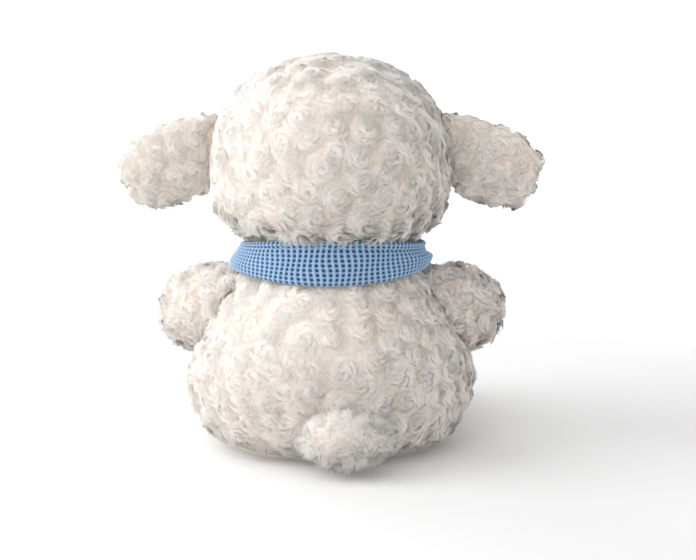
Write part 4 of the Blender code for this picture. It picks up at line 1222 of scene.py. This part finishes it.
class ScarfOperator(bpy.types.Operator):
    """Knits the scarf: its band, its knot and its two ends"""

    bl_idname = "sheep.scarf"
    bl_label = "Scarf"

    def execute(self, context):
        scarf = settings("scarf")
        self.band(scarf)
        self.knot(scarf)
        for side in SIDES:
            self.end(scarf, f"scarf_end_{side}")
        return {"FINISHED"}

    def band(self, scarf):
        steps, low, high, inner, outer = band_edges()
        mean_radius = float(np.mean(outer))
        ribs = round(2 * pi * mean_radius / scarf.rib_pitch)
        rows = round((high - low)[len(steps) // 2] / scarf.row_pitch) / BAND_FACE
        finish = knit_material("scarf_band_knit", ribs, rows, BAND_WAVES)

        def place(u, v):
            turn = (u * 2 - 1) * pi
            bottom, top, back = (np.interp(turn, steps, edge) for edge in (low, high, inner))
            rise, out = section(v, BAND_FACE)
            crease = (rise - CREASE_AT - CREASE_WAVES * np.sin(turn)) / CREASE_WIDE
            folds = FOLDS * np.sin(rise * pi * 2.0) - CREASE * np.exp(-(crease**2))
            lean = np.exp(-(((turn - LEAN_AT) / LEAN_WIDE) ** 2))
            back = back + lean * (LEAN_BELOW - LEAN_IN * rise)
            bump = bump_of(u * ribs, v * rows, scarf.relief, u * BAND_WAVES) + scarf.relief / 2
            bump *= np.clip(2 * out - 1, 0, 1)
            radius = back + BAND_CLEAR + (BAND_THICK + folds + tuck(turn, rise)) * out + bump
            height = bottom + (top - bottom) * rise
            return np.stack([np.sin(turn) * radius, np.cos(turn) * radius, height], axis=1)

        band = knit_grid("scarf_band_knit", int(rows * (STITCH - 1)), ribs * STITCH, place, True, finish)
        sewn(band, "scarf", "scarf_knit", "scarf_band")

    def knot(self, scarf):
        middle, half = middle_and_half("scarf_knot")
        finish = knit_material("scarf_knot_knit", KNOT_RIBS, KNOT_ROWS)

        def place(u, v):
            turn = u * 2 * pi
            lift = (v - 0.5) * pi * 0.985
            size = np.cos(lift) ** 0.85
            pinch = 1 - KNOT_PINCH * np.cos(turn * 2) * np.cos(lift) ** 2
            crease = np.exp(-((((turn / pi) % 1) - 0.5) / KNOT_CREASE_WIDE) ** 2)
            crease = 1 - KNOT_CREASE * crease * np.cos(lift)
            row = v * KNOT_ROWS
            bump = 1 + bump_of(u * KNOT_RIBS + KNOT_SLANT * row, row, scarf.relief * 0.8) / half.x
            form = np.stack([np.sin(lift), np.cos(turn) * size, np.sin(turn) * size], axis=1)
            return form * np.array(half) * (pinch * crease * bump * 0.98)[:, None] + np.array(middle)

        knot = knit_grid("scarf_knot_knit", KNOT_ROWS * STITCH, KNOT_RIBS * STITCH, place, False, finish)
        sewn(knot, "scarf", "scarf_knit", "scarf_knot")

    def end(self, scarf, name):
        points = coordinates(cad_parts[name].data)
        top, bottom = points[:, 2].max(), points[:, 2].min()
        steps = np.linspace(0, 1, 5)
        edges = []
        for step in steps:
            level = top + (bottom - top) * step
            near = points[np.abs(points[:, 2] - level) < (top - bottom) * 0.22]
            edges.append((near[:, 0].min(), near[:, 0].max(), near[:, 1].mean()))
        left, right, deep = np.array(edges).T
        rows = round((top - bottom) / scarf.row_pitch)
        finish = knit_material(name + "_knit", rows, END_RIBS / END_FACE)

        def place(u, v):
            rise, out = section(v, END_FACE)
            spread = 0.35 * u + 0.65 * np.sin(u * pi / 2)
            x0, x1 = (side[0] + (side[-1] - side[0]) * spread for side in (left, right))
            fold = END_FOLD * np.cos(rise * 3 * pi + 0.5) * (0.25 + 0.75 * u)
            stitches = v * END_RIBS / END_FACE, u * rows
            front, back = (bump_of(*stitches, scarf.relief * share) for share in (0.75, 0.5))
            depth = np.where(out > 0.5, END_FRONT + front, -END_BACK - back)
            edge = np.clip(np.minimum(rise, 1 - rise) * 9, 0.12, 1)
            y = np.interp(u, steps, deep) - depth * edge - fold
            return np.stack([x0 + (x1 - x0) * rise, y, top + (bottom - top) * u], axis=1)

        end = knit_grid(name + "_knit", END_RIBS * 2 * STITCH, rows * STITCH, place, False, finish)
        sewn(end, name, "scarf_knit", name)


def band_edges():
    """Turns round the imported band, with its lower and upper edge and its radii at each."""
    points = coordinates(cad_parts["scarf_band"].data)
    turns = np.arctan2(points[:, 0], points[:, 1])
    reach = np.hypot(points[:, 0], points[:, 1])
    steps = np.linspace(-pi, pi, 41)
    rows = []
    for turn in steps:
        near = np.abs((turns - turn + pi) % (2 * pi) - pi) < pi / 38
        height, radius = points[near, 2], reach[near]
        rows.append((height.min(), height.max(), radius.min(), radius.max()))
    return steps, *np.array(rows).T


def section(v, face):
    """Round a sheet's section: the place up it, and 1 on its outer face or 0 on its inner one."""
    on_face = v <= face
    rise = np.where(on_face, v / face, 1 - (v - face) / (1 - face))
    rounded = np.clip(np.minimum(rise, 1 - rise) * 14, 0, 1) ** 0.5
    return rise, 0.5 + np.where(on_face, 0.5, -0.5) * rounded


def tuck(turn, rise):
    """The fold on the scarf's right, where its lower half laps over its upper half."""
    apart = (turn + TUCK_AT) / TUCK_WIDE
    line = TUCK_LINE + TUCK_SLANT * apart
    lap = 1 / (1 + np.exp((rise - line) / TUCK_SOFT))
    return np.exp(-(apart**2)) * (TUCK_OUT * lap * np.clip(rise / line, 0, 1) - TUCK_IN * (1 - lap))


# Stage
SENSOR = 36.0  # the camera's, in millimetres
AIM, LAMP_AIM = Vector((-0.0099, 0.0, 0.0963)), Vector((0.0, 0.0, 0.11))  # what the camera and lamps face
FLOOR_SIZE, FLOOR_DULL, FLOOR_BRIGHT = 12.0, 0.25, 1.1  # its glow grows between these distances
FLOOR_GLOW = (0.02, 1.0)
PAPER, SEEN_PAPER = 0.80, 0.85
WORLD_LIGHT = (0.66, 1.0)  # on the sheep, and as the camera sees it
WHITE = (1.0, 1.0, 1.0)
LAMPS = (  # each one's place, width and power
    ("key_lamp", (1.45, 0.20, 0.85), 1.5, 21.5),
    ("top_lamp", (0.2, 0.5, 1.5), 1.2, 3.0),
    ("fill_lamp", (-1.2, 0.8, 0.5), 1.2, 2.5),
    ("front_lamp", (0.9, -1.3, 0.8), 1.3, 9.0),
    ("low_lamp", (0.7, 1.3, 0.22), 1.2, 2.5),
)


class StageOperator(bpy.types.Operator):
    """Sets the floor, the soft lamps and the camera"""

    bl_idname = "sheep.stage"
    bl_label = "Stage"

    def execute(self, context):
        self.floor()
        self.world(context.scene)
        for name, place, size, power in LAMPS:
            lamp = bpy.data.lights.new(name, "AREA")
            lamp.shape = "DISK"
            lamp.size = size
            lamp.energy = power
            self.aimed(name, lamp, Vector(place), LAMP_AIM - Vector(place))
        stage = settings("stage")
        camera = bpy.data.cameras.new("camera")
        camera.lens = stage.lens
        camera.sensor_width = SENSOR
        back = Vector((0.0, cos(stage.camera_height), sin(stage.camera_height)))
        holder = self.aimed("camera", camera, AIM + back * stage.camera_distance, -back)
        context.scene.camera = holder
        context.scene.view_settings.view_transform = "Standard"
        return {"FINISHED"}

    def aimed(self, name, data, place, way):
        """A lamp or camera at a place that looks this way."""
        holder = bpy.data.objects.new(name, data)
        holder.location = place
        holder.rotation_euler = way.to_track_quat("-Z", "Y").to_euler()
        bpy.context.scene.collection.objects.link(holder)
        return holder

    def floor(self):
        """Paper that gets whiter with the distance where the camera sees it."""
        mesh = bmesh.new()
        bmesh.ops.create_grid(mesh, x_segments=1, y_segments=1, size=FLOOR_SIZE)
        finish = bpy.data.materials.new("studio_floor")
        finish.use_nodes = True
        nodes = Nodes(finish.node_tree)
        nodes.tree.nodes.clear()
        reach = nodes.add("VectorMath", operation="LENGTH", Vector=nodes.object_place())
        far = reach.outputs["Value"]
        away = nodes.ranged(far, FLOOR_DULL, FLOOR_BRIGHT, *FLOOR_GLOW, smooth=True)
        paper, shaded = (
            nodes.add("BsdfDiffuse", Color=(grey,) * 3).outputs[0] for grey in (PAPER, SEEN_PAPER)
        )
        glow = nodes.add("Emission", Color=WHITE, Strength=away).outputs[0]
        both = nodes.joined("AddShader", shaded, glow)
        either = nodes.joined("MixShader", nodes.seen(), paper, both)
        nodes.add("OutputMaterial", Surface=either)
        finished("studio_floor", mesh, finish, smooth=False)

    def world(self, scene):
        scene.world = bpy.data.worlds.new("studio")
        scene.world.use_nodes = True
        nodes = Nodes(scene.world.node_tree)
        ground = nodes.tree.nodes["Background"].inputs
        nodes.put(ground["Strength"], nodes.ranged(nodes.seen(), 0.0, 1.0, *WORLD_LIGHT))
        nodes.put(ground["Color"], WHITE)


OPERATORS = (BodyOperator, HeadOperator, LimbOperator, FaceOperator, ScarfOperator, StageOperator)


class SheepPanel(bpy.types.Panel):
    """Lists the pieces of the sheep with their settings"""

    bl_idname = "VIEW3D_PT_plush_sheep"
    bl_label = "Plush sheep"
    bl_space_type = "VIEW_3D"
    bl_region_type = "UI"
    bl_category = "Plush sheep"

    def draw(self, context):
        for operator in OPERATORS:
            self.layout.operator(operator.bl_idname)
        for name in GROUPS:
            group = getattr(context.scene, name)
            for label in group.bl_rna.properties.keys():
                if label not in ("rna_type", "name"):
                    self.layout.prop(group, label)


def register():
    for group in GROUPS.values():
        bpy.utils.register_class(group)
    for operator in (*OPERATORS, SheepPanel):
        bpy.utils.register_class(operator)
    for name, group in GROUPS.items():
        setattr(bpy.types.Scene, name, PointerProperty(type=group))


def unregister():
    for name in GROUPS:
        delattr(bpy.types.Scene, name)
    for item in (SheepPanel, *reversed(OPERATORS), *reversed(GROUPS.values())):
        bpy.utils.unregister_class(item)


def main():
    register()
    bpy.ops.sheep.body()
    bpy.ops.sheep.head()
    bpy.ops.sheep.limbs()
    bpy.ops.sheep.face()
    bpy.ops.sheep.scarf()
    bpy.ops.sheep.stage()


if __name__ == "__main__":
    main()
